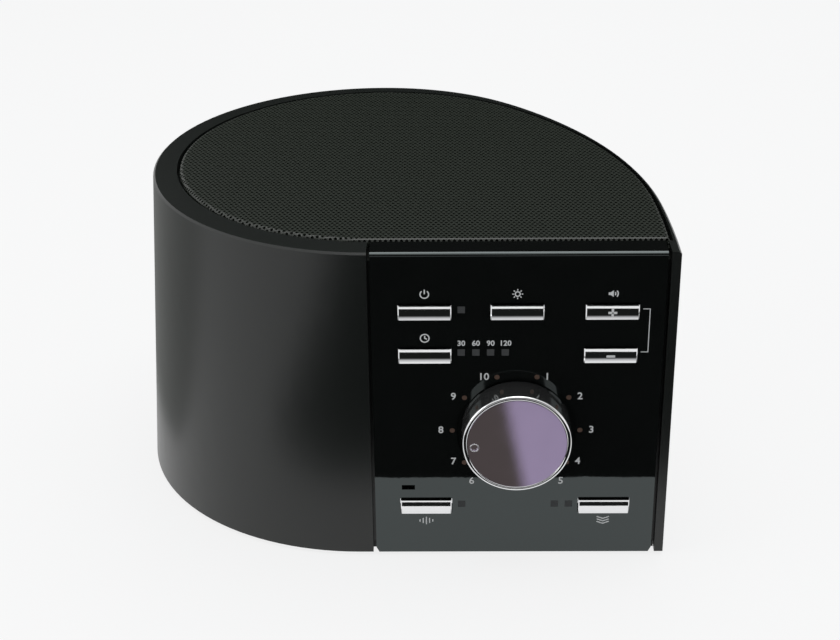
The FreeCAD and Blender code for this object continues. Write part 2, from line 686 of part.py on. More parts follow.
def make_casing():
    body = new_body("casing")
    low = new_sketch(body, "outer_low", "XY_Plane", "0")
    draw_wrap(low, "low", "0")
    high = new_sketch(body, "outer_high", "XY_Plane", "body_height")
    draw_wrap(high, "high", "0")
    loft(body, "AdditiveLoft", low, high)
    inner_low = new_sketch(body, "inner_low", "XY_Plane", "0")
    draw_wrap(inner_low, "low", "wall")
    inner_high = new_sketch(body, "inner_high", "XY_Plane", "deck_bottom")
    draw_wrap(inner_high, "cavity", "wall")
    loft(body, "SubtractiveLoft", inner_low, inner_high)
    cut_down(body, "grille_pocket", "body_height", "deck_drop", wrapped("grille", "-grille_gap"))
    opening = rectangle("-seam_left", "-wall", "panel_width + seam_right", "grille_front - grille_gap / 2")
    cut_down(body, "return_pocket", "body_height", "deck_drop", opening)
    opening = rectangle("-seam_left", "-wall", "panel_width + seam_right", "panel_back")
    cut_down(body, "fascia_opening", "body_height", "body_height + wall", opening)
    cut_down(body, "speaker_hole", "deck_top", "deck_thickness",
             dots([("speaker_x", "speaker_y")], "speaker_opening"))
    spots = [(f"speaker_x + {x}", f"speaker_y + {y}") for x, y in SPEAKER_SCREWS]
    cut_down(body, "speaker_pilots", "deck_bottom + speaker_screw_bite + deck_pilot_spare", "deck_thickness",
             dots(spots, "screw_radius + screw_gap"))
    ribs = [
        ("seam_ribs", "panel_back", "-2 * wall", "rib_overlap"),
        ("seam_root", "wall - rib_root", "-2 * wall", "-seam_left"),
        ("right_rib", "panel_back", "panel_width - rib_overlap", "body_right - wall / 2"),
    ]
    for name, front, left, right in ribs:
        pad_back(body, name, front, f"panel_back + rib_depth - {front}",
                 rectangle(left, "base_thickness + base_gap", right, "deck_bottom + deck_thickness / 2"))
    half = "jack_recess_width / 2"
    pad_back(body, "socket_pad", "jack_inner", "jack_wall + jack_root",
             rectangle(f"main_board_x - {half} - jack_border", "jack_recess_low - jack_border",
                       f"main_board_x + {half} + jack_border", "jack_recess_top + jack_border"))
    cut_back(body, "socket_recess", "jack_face", "body_back",
             rectangle(f"main_board_x - {half}", "jack_recess_low",
                       f"main_board_x + {half}", "jack_recess_top"))
    for name, x, z, nose in (("power_hole", "power_jack_x", "power_jack_z", "power_nose"),
                             ("phone_hole", "phone_jack_x", "phone_jack_z", "phone_nose")):
        cut_back(body, name, "jack_inner", "jack_wall * 2", dots([(x, z)], f"{nose} + jack_gap"))
    pad_up(body, "screw_posts", "base_thickness", "post_height", dots(POSTS, "post_radius"))
    sketch = new_sketch(body, "post_pilots", "XY_Plane", "0")
    dots(POSTS, "case_screw_radius + screw_gap")(sketch)
    extrude(body, "Pocket", sketch, "base_thickness + case_screw_length", reverse=True)
    rim = value_of("body_height")
    radii = [value_of(f"high_{arc}_radius") for arc in ("left", "corner", "middle", "front")]

    def on_outer_rim(edge):
        box = edge.BoundBox
        level = abs(box.ZMin - rim) < CLOSE and abs(box.ZMax - rim) < CLOSE
        radius = getattr(edge.Curve, "Radius", 0)
        return level and any(abs(radius - known) < CLOSE for known in radii)
    round_edges(body, "rim_bevel", "rim_round", on_outer_rim, kind="Chamfer")
    settle(body, "casing")


def make_fascia():
    body = new_body("front_fascia")
    notch = "panel_notch"
    outline = [
        (notch + " / 2", "0"), ("panel_width - " + notch + " / 2", "0"), ("panel_width", notch),
        ("panel_width", "body_height"), ("0", "body_height"), ("0", notch),
    ]
    pad_back(body, "face_plate", "0", "panel_thickness", lambda sketch: draw_path(sketch, outline))
    pad_up(body, "top_return", "deck_top", "deck_drop",
           rectangle("0", "panel_thickness / 2", "panel_width", "panel_return"))
    pad_back(body, "board_bosses", "panel_thickness", "front_board_y - panel_thickness",
             dots(BOSSES, "boss_radius"))
    sketch = new_sketch(body, "boss_pilots", "XZ_Plane", "front_board_y")
    dots(BOSSES, "screw_radius + screw_gap")(sketch)
    extrude(body, "Pocket", sketch, "screw_length", reverse=True)
    slots = [centred(x, z, "key_width + 2 * key_gap", "key_height + 2 * key_gap") for x, z in KEYS.values()]
    cut_back(body, "key_slots", "0", "panel_thickness", many(slots))
    holes = [centred(x, z, "window_side + 2 * window_gap", "window_side + 2 * window_gap")
             for x, z in WINDOWS]
    holes.append(centred("mic_x", "mic_z", "mic_slot_width", "mic_slot_height"))
    cut_back(body, "window_holes", "0", "panel_thickness", many(holes))
    axis = [("knob_x", "knob_z")]
    cut_back(body, "knob_dish", "0", "dish_depth", dots(axis, "dish_radius"))
    cut_back(body, "shaft_hole", "0", "panel_thickness", dots(axis, "bush_radius + jack_gap"))
    cut_back(body, "dial_holes", "0", "panel_thickness", dots(dial_spots(), "dial_window + window_gap"))
    top = value_of("body_height")

    def top_front(edge):
        box = edge.BoundBox
        return box.YMax < CLOSE and abs(box.ZMin - top) < CLOSE
    round_edges(body, "top_rounding", "panel_round", top_front)
    settle(body, "front_fascia")


def dial_spots():
    count = int(value_of("dial_lights"))
    spots = []
    for index in range(count):
        angle = f"({index} + 0.5) * 360 / dial_lights"
        spots.append((f"knob_x + dial_radius * sin({angle})", f"knob_z + dial_radius * cos({angle})"))
    return spots


def make_grille():
    """A shallow pressed lid: flat top, bent edge and a skirt that stands on the deck."""
    body = new_body("grille")
    height = "deck_drop + grille_proud"
    pad_up(body, "lid", "deck_top", height, wrapped("grille", "0"))
    top = value_of("body_height + grille_proud")

    def top_edge(edge):
        return edge.BoundBox.ZMin > top - CLOSE
    round_edges(body, "bend", "grille_bend", top_edge)
    cut_sketch = new_sketch(body, "hollow", "XY_Plane", "deck_top")
    draw_wrap(cut_sketch, "grille", "grille_sheet")
    extrude(body, "Pocket", cut_sketch, f"{height} - grille_sheet", reverse=True)
    settle(body, "grille")


def make_base_plate():
    body = new_body("base_plate")
    pad_up(body, "plate", "0", "base_thickness", wrapped("low", "base_inset"))
    pad_up(body, "board_posts", "base_thickness", "main_board_post", dots(BOARD_POSTS, "boss_radius"))
    cut_down(body, "board_pilots", "main_board_z", "screw_length - board_thickness",
             dots(BOARD_POSTS, "screw_radius + screw_gap"))
    cut_down(body, "case_screw_holes", "base_thickness", "base_thickness",
             dots(POSTS, "case_screw_radius + screw_gap"))
    sketch = new_sketch(body, "case_screw_heads", "XY_Plane", "0")
    dots(POSTS, "case_screw_head + screw_gap")(sketch)
    extrude(body, "Pocket", sketch, "case_screw_sink", reverse=True)
    sketch = new_sketch(body, "foot_seats", "XY_Plane", "0")
    dots(FEET.values(), "foot_radius + screw_gap")(sketch)
    extrude(body, "Pocket", sketch, "foot_seat", reverse=True)
    first = "speaker_y - (vent_count - 1) / 2 * vent_pitch"
    vent = cut_down(body, "vent", "base_thickness", "base_thickness",
                    centred("speaker_x", first, "vent_length", "vent_width"))
    doc.recompute()
    pattern = body.newObject("PartDesign::LinearPattern", "vents")
    pattern.Originals = [vent]
    pattern.Direction = (vent.Profile[0], ["V_Axis"])
    bind(pattern, "Length", "(vent_count - 1) * vent_pitch")
    bind(pattern, "Occurrences", "vent_count")
    body.Tip = pattern
    settle(body, "base_plate")


def make_feet():
    for name, (x, y) in FEET.items():
        body = new_body(name)
        sketch = new_sketch(body, name + "_section", "XZ_Plane", "0")
        points = [("0", "-foot_proud"), ("foot_radius - foot_proud / 2", "-foot_proud"),
                  ("foot_radius", "-foot_proud / 2"), ("foot_radius", "foot_seat"), ("0", "foot_seat")]
        draw_path(sketch, points)
        revolve(body, sketch)
        settle(body, name, x, y)


# Speaker, turned about its own upright axis with zero height at the deck's underside

def turned(label, points, arcs=None):
    body = new_body(label)
    sketch = new_sketch(body, label + "_section", "XZ_Plane", "0")
    draw_path(sketch, points, arcs)
    revolve(body, sketch)
    return settle(body, label, "speaker_x", "speaker_y", "speaker_z")


def make_speaker():
    top = "-gasket_thickness"
    inner = "speaker_opening - frame_lip"
    flat = "speaker_opening + surround_land"
    holes = dots(SPEAKER_SCREWS, "screw_radius + screw_gap")
    gasket = turned("speaker_gasket", [("gasket_bore", top), ("speaker_flange", top),
                                       ("speaker_flange", "0"), ("gasket_bore", "0")])
    cut_down(gasket, "gasket_holes", "0", "gasket_thickness", holes)
    low = f"{top} - speaker_depth"
    plate = "speaker_plate"
    frame = [
        (inner, top), ("speaker_flange", top), ("speaker_flange", f"{top} - {plate}"),
        ("gasket_bore", f"{top} - {plate}"), ("magnet_radius + frame_ledge", low),
        ("coil_radius + coil_gap", low), ("coil_radius + coil_gap", f"{low} + {plate}"),
        (f"magnet_radius + frame_ledge - {plate} / 2", f"{low} + {plate}"),
        (inner, f"{top} - frame_slope"),
    ]
    basket = turned("speaker_frame", frame)
    cut_down(basket, "frame_holes", top, plate, holes)
    cut_basket_windows(basket, f"{top} - frame_window_margin", "speaker_depth - 2 * frame_window_margin")
    turned("speaker_magnet", [("0", f"{low} - magnet_height"), ("magnet_radius", f"{low} - magnet_height"),
                              ("magnet_radius", low), ("0", low)])
    crest = f"{inner} - roll_width"
    sheet = "cone_sheet"
    roll = [(f"{inner} - roll_width / 2 - roll_width / 2 * cos({angle})", f"roll_width / 2 * sin({angle})")
            for angle in (0, 45, 90, 135, 180)]
    under = [(x, f"{top} + {rise}") for x, rise in roll]
    over = [(x, f"{top} + {sheet} + {rise}") for x, rise in reversed(roll)]
    surround = [(f"{crest} - surround_glue", top), *under, (flat, top), (flat, f"{top} + {sheet}"), *over,
                (f"{crest} - surround_glue", f"{top} + {sheet}")]
    turned("speaker_surround", surround)
    rim = f"{crest} - surround_glue - shaft_gap"
    drop = "cone_depth"
    cone = [
        ("coil_radius", f"{top} - {drop}"), ("coil_radius + cone_sheet", f"{top} - {drop}"),
        (rim, f"{top} - {sheet}"), (rim, f"{top} + {sheet}"), (f"{rim} - cone_lip", f"{top} + {sheet}"),
    ]
    turned("speaker_cone", cone)
    seat = f"{top} - {drop} + {sheet}"
    cap = [("coil_radius", seat), ("cap_shoulder_radius", f"{seat} + cap_shoulder"),
           ("0", f"{seat} + cap_height"), ("0", f"{seat} + cap_height + {sheet}"),
           ("cap_shoulder_radius", f"{seat} + cap_shoulder + {sheet}"), ("coil_radius", f"{seat} + {sheet}")]
    turned("speaker_dust_cap", cap)
    screws = []
    for number, (x, y) in enumerate(SPEAKER_SCREWS):
        seat = f"{top} - {plate}"
        shank = rod(f"speaker_shank_{number}", x, y, seat, "screw_radius",
                    f"{plate} - ({top}) + speaker_screw_bite")
        head = rod(f"speaker_head_{number}", x, y, f"{seat} - screw_head_height", "screw_head",
                   "screw_head_height")
        screws.append(join(f"speaker_screw_{number}", [shank, head]))
    group("speaker_screws", screws, "speaker_x", "speaker_y", "speaker_z")


def cut_basket_windows(body, where, depth):
    """Open the sloping side of the speaker frame with equal windows."""
    inner = "magnet_radius + frame_window_foot"
    outer = "speaker_opening - frame_window_rim"
    half = "frame_window_angle / 2"
    corners = [(f"({reach}) * cos({half})", f"{sign}({reach}) * sin({half})")
               for reach, sign in ((outer, "-"), (outer, ""), (inner, ""), (inner, "-"))]
    window = cut_down(body, "basket_window", where, depth,
                      lambda sketch: draw_path(sketch, corners, {0: f"-({outer})", 2: inner}))
    doc.recompute()
    pattern = body.newObject("PartDesign::PolarPattern", "basket_windows")
    pattern.Originals = [window]
    pattern.Axis = (window.Profile[0], ["N_Axis"])
    pattern.Angle = 360
    bind(pattern, "Occurrences", "frame_windows")
    body.Tip = pattern


# Front controls

def make_front_board():
    body = new_body("front_board")
    left = "front_board_edge"
    pad_back(body, "board", "front_board_y", "board_thickness",
             rectangle(left, "front_board_low", f"panel_width - {left}", "front_board_top"))
    cut_back(body, "board_holes", "front_board_y", "board_thickness",
             dots(BOSSES, "screw_radius + screw_gap"))
    settle(body, "front_board")
    screws = []
    for number, (x, z) in enumerate(BOSSES):
        shank = rod(f"front_shank_{number}", x, "front_board_back - screw_length", z,
                    "screw_radius", "screw_length", along_y=True)
        head = rod(f"front_head_{number}", x, "front_board_back", z, "screw_head",
                   "screw_head_height", along_y=True)
        screws.append(join(f"front_screw_{number}", [shank, head]))
    group("front_board_screws", screws)


def make_switches():
    bodies = []
    for name, (x, z) in KEYS.items():
        half = "switch_side / 2"
        shell = block(name + "_switch_block", f"{x} - {half}", "switch_front", f"{z} - {half}",
                      "switch_side", "switch_height", "switch_side")
        hole = rod(name + "_switch_bore", x, "switch_front", z, "plunger_radius + shaft_gap",
                   "plunger_bore", along_y=True)
        bodies.append(cut(name + "_switch", shell, [hole]))
        plunger = rod(name + "_plunger_rod", x, "plunger_front", z, "plunger_radius",
                      "plunger_length", along_y=True)
        group(name.replace("_key", "_plunger"), [plunger])
    group("tact_switches", bodies)


def make_keys():
    """A key is a crowned bar with a keeper flange behind the fascia and a stem to its switch."""
    for name, (x, z) in KEYS.items():
        body = new_body(name)
        sketch = new_sketch(body, name + "_section", "YZ_Plane", "-key_width / 2")
        half = "key_height / 2"
        shoulder = f"key_crown - sqrt(key_crown^2 - ({half})^2) - key_proud"
        draw_path(sketch, [("flange_back", half), ("flange_back", f"-{half}"),
                           (shoulder, f"-{half}"), (shoulder, half)], {2: "key_crown"})
        extrude(body, "Pad", sketch, "key_width")
        doc.recompute()

        def front_end(edge):
            box = edge.BoundBox
            return box.XLength < CLOSE and box.YMax < value_of(shoulder) + CLOSE
        round_edges(body, name + "_ends", "key_bevel", front_end, kind="Chamfer")
        pad_back(body, name + "_flange", "flange_front", "key_flange_thickness",
                 centred("0", "0", "key_width + 2 * key_flange", "key_height + 2 * key_flange"))
        pad_back(body, name + "_stem", "flange_back", "plunger_front - flange_back",
                 dots([("0", "0")], "key_stem"))
        settle(body, name, x, "0", z)


def make_lights():
    dial = []
    chips = []
    depth = "front_board_y - light_height - light_gap"
    for number, (x, z) in enumerate(dial_spots()):
        dial.append(rod(f"dial_guide_{number}", x, "0", z, "dial_window", depth, along_y=True))
        chips.append(light_chip(f"dial_chip_{number}", x, z))
    group("dial_windows", dial)
    guides = []
    half = "window_side / 2"
    for number, (x, z) in enumerate(WINDOWS):
        guides.append(block(f"status_guide_{number}", f"{x} - {half}", "0", f"{z} - {half}",
                            "window_side", depth, "window_side"))
        chips.append(light_chip(f"status_chip_{number}", x, z))
    group("status_windows", guides)
    group("light_chips", chips)


def light_chip(name, x, z):
    half = "light_side / 2"
    return block(name, f"{x} - {half}", "front_board_y - light_height", f"{z} - {half}",
                 "light_side", "light_height", "light_side")


def make_microphone():
    front = "front_board_y - mic_depth"
    group("microphone", [rod("mic_can", "mic_x", front, "mic_z", "mic_radius", "mic_depth", along_y=True)])
    tube = rod("mic_tube", "mic_x", "panel_thickness", "mic_z", "mic_radius",
               f"{front} - panel_thickness", along_y=True)
    bore = rod("mic_bore", "mic_x", "panel_thickness", "mic_z", "mic_bore",
               f"{front} - panel_thickness", along_y=True)
    settle(cut("microphone_gasket", tube, [bore]), "microphone_gasket")


def make_knob():
    """The knob turns about its own Y axis; sections are drawn with radius along X."""
    plate = "knob_front_plate"
    inner = "knob_base - knob_wall"
    floor = f"{plate} + knob_wall"
    body = new_body("knob_body")
    sketch = new_sketch(body, "knob_section", "XY_Plane", "0")
    bore = "shaft_radius + shaft_gap"
    draw_path(sketch, [
        ("0", plate), ("knob_radius", plate), ("knob_base", "dish_depth / 2"), (inner, "dish_depth / 2"),
        (inner, floor), ("knob_hub", floor), ("knob_hub", "bush_tip"), (bore, "bush_tip"),
        (bore, floor), ("0", floor),
    ])
    revolve(body, sketch)
    settle(body, "knob_body", "knob_x", "0", "knob_z")

    ring = new_body("knob_ring")
    sketch = new_sketch(ring, "ring_section", "XY_Plane", "0")
    draw_path(sketch, [
        ("knob_radius - ring_width", plate), ("knob_radius", plate),
        ("knob_radius", "ring_bevel - knob_proud"), ("knob_radius - ring_bevel", "-knob_proud"),
        ("knob_radius - ring_width + ring_bevel", "-knob_proud"),
        ("knob_radius - ring_width", "ring_bevel - knob_proud"),
    ])
    revolve(ring, sketch)
    settle(ring, "knob_ring", "knob_x", "0", "knob_z")

    face = new_body("knob_face")
    pad_back(face, "disc", "face_sink - knob_proud", "ring_depth - face_sink",
             dots([("0", "0")], "knob_radius - ring_width - shaft_gap"))
    dimple = ("-pointer_reach * sin(pointer_angle)", "pointer_reach * cos(pointer_angle)")
    cut_back(face, "dimple", "face_sink - knob_proud", "(ring_depth - face_sink) / 2",
             dots([dimple], "pointer_radius"))
    settle(face, "knob_face", "knob_x", "0", "knob_z")

    shaft_end = f"{floor} + shaft_gap"
    shaft_length = f"front_board_y - encoder_depth / 2 - ({shaft_end})"
    pole = rod("shaft_rod", "0", shaft_end, "0", "shaft_radius", shaft_length, along_y=True)
    flat = block("flat_cut", "-shaft_radius", shaft_end, "shaft_flat", "2 * shaft_radius",
                 "shaft_flat_length", "shaft_radius")
    settle(cut("encoder_shaft", pole, [flat]), "encoder_shaft", "knob_x", "0", "knob_z")


def make_encoder():
    front = "front_board_y - encoder_depth"
    half = "encoder_side / 2"
    shell = block("encoder_block", f"-{half}", front, f"-{half}", "encoder_side", "encoder_depth",
                  "encoder_side")
    tip = "bush_tip"
    bush = rod("encoder_bush", "0", tip, "0", "bush_radius", f"{front} - ({tip})", along_y=True)
    bore_end = "front_board_y - encoder_depth / 2 + light_gap"
    bore = rod("encoder_bore", "0", tip, "0", "shaft_radius + shaft_gap", f"{bore_end} - ({tip})",
               along_y=True)
    whole = join("encoder_whole", [shell, bush])
    settle(cut("encoder_body", whole, [bore]), "encoder_body", "knob_x", "0", "knob_z")

    nut = new_body("encoder_nut")
    sketch = new_sketch(nut, "hexagon", "XZ_Plane", "dish_depth - nut_height")
    corners = [(f"nut_radius * cos({angle})", f"nut_radius * sin({angle})") for angle in range(0, 360, 60)]
    draw_path(sketch, corners)
    draw_circle(sketch, "0", "0", "bush_radius + shaft_gap")
    extrude(nut, "Pad", sketch, "nut_height", reverse=True)
    settle(nut, "encoder_nut", "knob_x", "0", "knob_z")


# Main board and rear sockets

def make_main_board():
    body = new_body("main_board")
    half = "main_board_width / 2"
    pad_up(body, "main_plate", "main_board_z", "board_thickness",
           rectangle(f"main_board_x - {half}", "main_board_front", f"main_board_x + {half}",
                     "main_board_rear"))
    cut_down(body, "main_holes", "main_board_top", "board_thickness",
             dots(BOARD_POSTS, "screw_radius + screw_gap"))
    settle(body, "main_board")
    screws = []
    for number, (x, y) in enumerate(BOARD_POSTS):
        shank = rod(f"main_shank_{number}", x, y, "main_board_top - screw_length + pilot_spare",
                    "screw_radius", "screw_length - pilot_spare")
        head = rod(f"main_head_{number}", x, y, "main_board_top", "screw_head", "screw_head_height")
        screws.append(join(f"main_screw_{number}", [shank, head]))
    group("main_board_screws", screws)
    chips = [
        ("sound_chip", "0", "0", "sound_chip_side", "sound_chip_side", "sound_chip_height"),
        ("amplifier_chip", "amplifier_right", "amplifier_back", "amplifier_width", "amplifier_length",
         "amplifier_height"),
        ("memory_chip", "-memory_left", "0", "memory_width", "memory_length", "memory_height"),
        ("choke", "choke_offset", "choke_offset", "choke_side", "choke_side", "choke_height"),
    ]
    parts = [block(name, f"main_board_x + {right} - {width} / 2", f"main_board_y + {back} - {length} / 2",
                   "main_board_top", width, length, height)
             for name, right, back, width, length, height in chips]
    cans = [
        ("large_capacitor", "capacitor_right", "capacitor_radius", "capacitor_height"),
        ("small_capacitor", "-small_capacitor_left", "small_capacitor_radius", "small_capacitor_height"),
    ]
    parts += [rod(name, f"main_board_x + {right}", "main_board_y + capacitor_back", "main_board_top",
                  radius, height)
              for name, right, radius, height in cans]
    group("main_board_parts", parts)


def make_sockets():
    rear = "jack_inner - light_gap"
    front = f"{rear} - jack_length"
    shapes = (
        ("power_socket", "power_jack", "power_nose", "power_bore", "power_depth"),
        ("headphone_socket", "phone_jack", "phone_nose", "phone_bore", "phone_depth"),
    )
    for label, stem, nose, bore, depth in shapes:
        x, z = f"{stem}_x", f"{stem}_z"
        shell = block(label + "_block", f"{x} - {stem}_width / 2", front, f"{z} - {stem}_height / 2",
                      f"{stem}_width", "jack_length", f"{stem}_height")
        snout = rod(label + "_nose", x, rear, z, nose, f"jack_face - ({rear})", along_y=True)
        hole = rod(label + "_bore", x, f"jack_face - {depth}", z, bore, depth, along_y=True)
        whole = cut(label + "_shell", join(label + "_outer", [shell, snout]), [hole])
        if label == "power_socket":
            pin = rod("power_pin_rod", x, f"jack_face - {depth}", z, "power_pin", f"{depth} - pin_inset",
                      along_y=True)
            whole = join("power_socket_all", [whole, pin])
        group(label, [whole])


def make_cable():
    """The flat ribbon hangs in one shallow arc between a socket on each board."""
    left = "main_board_x - cable_width / 2"
    socket_left = f"{left} - socket_margin"
    width = "cable_width + 2 * socket_margin"
    front = block("front_socket", socket_left, "front_board_back", "cable_front_z - socket_height / 2",
                  width, "socket_depth", "socket_height")
    rear = block("rear_socket", socket_left, "cable_rear - socket_depth / 2", "main_board_top",
                 width, "socket_depth", "socket_height")
    group("ribbon_sockets", [front, rear])
    body = new_body("ribbon_cable")
    sketch = new_sketch(body, "ribbon_section", "YZ_Plane", left)
    start, end = "cable_front", "cable_rear - socket_depth / 2"
    thick = "cable_thickness"
    draw_path(sketch, [
        (start, "cable_front_z"), (end, "cable_rear_z"), (end, f"cable_rear_z + {thick}"),
        (start, f"cable_front_z + {thick}"),
    ], {0: "-cable_sag", 2: "cable_sag"})
    extrude(body, "Pad", sketch, "cable_width")
    settle(body, "ribbon_cable")


def make_base_screws():
    screws = []
    for number, (x, y) in enumerate(POSTS):
        seat = "case_screw_sink"
        shank = rod(f"case_shank_{number}", x, y, seat, "case_screw_radius", "case_screw_length")
        head = rod(f"case_head_{number}", x, y, f"{seat} - case_screw_head_height", "case_screw_head",
                   "case_screw_head_height")
        screws.append(join(f"case_screw_{number}", [shank, head]))
    group("base_screws", screws)


make_casing()
make_fascia()
make_grille()
make_base_plate()
make_feet()
make_speaker()
make_front_board()
make_switches()
make_keys()
make_lights()
make_microphone()
make_knob()
make_encoder()
make_main_board()
make_sockets()
make_cable()
make_base_screws()
doc.recompute()

problems = []
for thing in doc.Objects:
    if "Invalid" in thing.State or "Error" in thing.State:
        problems.append(f"{thing.Name}: {thing.State}")
for thing in finished:
    if thing.Shape.isNull() or not thing.Shape.isValid() or not thing.Shape.Solids:
        problems.append(f"{thing.Label}: no valid solid")
if problems:
    raise RuntimeError("\n".join(problems))

os.makedirs("parts", exist_ok=True)
for thing in finished:
    thing.Shape.exportStep(f"parts/{thing.Label}.step")
print(len(finished), "sub-parts written")
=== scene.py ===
# %% [markdown]
# # A bedside sound machine
# The real object is a flared, round plastic cabinet with a flat glossy panel in front and a
# perforated metal lid over an upward-facing speaker. The construction model already holds every
# piece at its real size, so this file only dresses it: it finishes the surfaces, presses the
# fine perforation of the lid, prints the marks on the panel and sets up light and camera.

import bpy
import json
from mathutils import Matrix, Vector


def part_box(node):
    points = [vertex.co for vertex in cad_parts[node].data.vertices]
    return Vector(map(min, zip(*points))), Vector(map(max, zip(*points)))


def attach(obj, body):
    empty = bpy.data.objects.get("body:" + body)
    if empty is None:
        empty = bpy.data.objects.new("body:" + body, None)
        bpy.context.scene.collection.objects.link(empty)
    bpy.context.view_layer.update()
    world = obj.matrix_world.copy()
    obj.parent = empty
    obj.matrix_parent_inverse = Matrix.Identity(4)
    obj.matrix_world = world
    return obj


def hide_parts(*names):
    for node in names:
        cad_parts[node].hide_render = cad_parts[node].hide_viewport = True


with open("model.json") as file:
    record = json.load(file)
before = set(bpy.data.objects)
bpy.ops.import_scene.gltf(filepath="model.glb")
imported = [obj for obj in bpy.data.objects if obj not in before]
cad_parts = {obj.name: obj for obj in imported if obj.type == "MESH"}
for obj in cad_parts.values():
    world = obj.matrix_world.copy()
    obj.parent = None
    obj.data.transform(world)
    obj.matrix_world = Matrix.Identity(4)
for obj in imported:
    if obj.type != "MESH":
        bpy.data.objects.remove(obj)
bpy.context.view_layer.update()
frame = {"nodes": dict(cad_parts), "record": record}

import json
import math

import bmesh
import bpy
import numpy as np
from mathutils import Matrix, Vector

bpy.ops.object.select_all(action="DESELECT")

# %% [markdown]
# Everything on the front is measured from the panel's lower left corner, as a printer or a
# toolmaker would measure it. One helper turns such a measure, in millimetres, into a place in
# the scene, so no piece needs a coordinate of its own.

# %% Measure from the panel
MM = 0.001
panel_low, panel_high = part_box("front_fascia")
PANEL_WIDTH = (panel_high.x - panel_low.x) / MM
BODY_HEIGHT = (panel_high.z - panel_low.z) / MM


def on_panel(across, up, out=0.0):
    """A place given across and up the panel and out towards the viewer, in millimetres."""
    return Vector((panel_low.x + across * MM, panel_low.y - out * MM, panel_low.z + up * MM))


def middle_of(node):
    """The middle of a construction piece's box."""
    low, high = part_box(node)
    return (low + high) / 2


print("panel:", round(PANEL_WIDTH, 1), "by", round(BODY_HEIGHT, 1), "mm")

# %% [markdown]
# The camera stands in front of the panel, well above it, and looks down by about 27 degrees.
# A long lens keeps the cabinet's sides nearly parallel. The view is turned into three
# directions first, because a matrix built from them has no gimbal surprises.

# %% Set the camera
CAMERA_ACROSS, CAMERA_UP, CAMERA_OUT = 24.467, 356.354, 514.541
CAMERA_YAW, CAMERA_PITCH, CAMERA_ROLL = (math.radians(angle) for angle in (-0.858, 26.924, -0.619))
LENS_MM = 72.65

forward = Vector((math.sin(CAMERA_YAW) * math.cos(CAMERA_PITCH),
                  math.cos(CAMERA_YAW) * math.cos(CAMERA_PITCH), -math.sin(CAMERA_PITCH)))
level_right = Vector((math.cos(CAMERA_YAW), -math.sin(CAMERA_YAW), 0))
level_up = level_right.cross(forward)
right = level_right * math.cos(CAMERA_ROLL) + level_up * math.sin(CAMERA_ROLL)
up = level_up * math.cos(CAMERA_ROLL) - level_right * math.sin(CAMERA_ROLL)

lens = bpy.data.cameras.new("camera")
lens.lens = LENS_MM
lens.clip_start = 0.01
camera = bpy.data.objects.new("camera", lens)
bpy.context.scene.collection.objects.link(camera)
turn = Matrix((right, up, -forward)).transposed().to_4x4()
camera.matrix_world = Matrix.Translation(on_panel(CAMERA_ACROSS, CAMERA_UP, CAMERA_OUT)) @ turn
bpy.context.scene.camera = camera
bpy.context.scene.view_settings.view_transform = "Standard"
print("camera at", tuple(round(value, 3) for value in camera.location))

# %% [markdown]
# A glossy black panel shows nothing of its own, only what stands in front of it. Here it
# mirrors a strip of pale table at its foot and black card beyond that. A grey card on the left
# gives the round side something to mirror too. The cards lie where a photographer would lay
# them, and they only show in reflections, so the camera doesn't see them.

# %% Lay the floor and the cards
FLOOR_SIDE = 8.0
CARD_EDGE = 52.5
CARD_END = 2400
BEHIND_PLACE, BEHIND_SIZE = (0.08, 0.55, 0.56), (0.68, 1.0)
BEYOND_PLACE, BEYOND_SIZE = (0.05, -1.7, 0.95), (6.0, 1.3)


def flat_card(name, across, out, height=0.0003):
    """A level card between two places across and two places out from the panel."""
    bpy.ops.mesh.primitive_plane_add(size=1)
    card = bpy.context.object
    card.name = name
    near = Vector((panel_low.x + across[0] * MM, panel_low.y - out[1] * MM, height))
    far = Vector((panel_low.x + across[1] * MM, panel_low.y - out[0] * MM, height))
    card.location = (near + far) / 2
    card.scale = (far.x - near.x, far.y - near.y, 1)
    return card


def upright_card(name, place, size):
    """A card that faces the object; its place across is taken from the panel's left edge."""
    middle = (panel_low.x + place[0], place[1], place[2])
    bpy.ops.mesh.primitive_plane_add(size=1, location=middle, rotation=(math.radians(90), 0, 0))
    card = bpy.context.object
    card.name = name
    card.scale = (*size, 1)
    return card


def glow(name, colour):
    """A surface that gives off its own even light, however it is lit."""
    material = bpy.data.materials.new(name)
    material.use_nodes = True
    tree = material.node_tree
    tree.nodes.clear()
    light = tree.nodes.new("ShaderNodeEmission")
    light.inputs["Color"].default_value = (*colour, 1)
    output = tree.nodes.new("ShaderNodeOutputMaterial")
    tree.links.new(light.outputs[0], output.inputs["Surface"])
    return material


def only_in_reflections(card, material):
    """Give a card its colour and hide it from the camera, from matt surfaces and from shadows."""
    card.data.materials.append(material)
    card.visible_camera = False
    card.visible_diffuse = False
    card.visible_shadow = False


floor = flat_card("floor", (-FLOOR_SIDE / 2 / MM, FLOOR_SIDE / 2 / MM),
                  (-FLOOR_SIDE / 2 / MM, FLOOR_SIDE / 2 / MM), 0)
black_card = glow("black_card", (0.010, 0.011, 0.0105))
only_in_reflections(flat_card("card_in_front", (-120, 260), (CARD_EDGE, CARD_END)), black_card)
only_in_reflections(upright_card("card_behind", BEHIND_PLACE, BEHIND_SIZE), black_card)
only_in_reflections(upright_card("card_beyond_camera", BEYOND_PLACE, BEYOND_SIZE), black_card)
grey_card = glow("grey_card", (0.42, 0.43, 0.42))
only_in_reflections(flat_card("card_beside", (-620, -118), (-900, -60)), grey_card)
print("cards laid")

# %% [markdown]
# The knob's face and the chrome keys are mirrors too. The knob shows a card that is half dark and
# half violet. It is an oval that lies exactly where the eye looks after it leaves that face, so
# points of the face's rim are followed down to the table for it. The keys are crowned, so their
# lower half looks steeply down, at a strip of table that grows pale towards the panel. Each card
# lights only the mirrors that it is made for, and everything else looks through it.

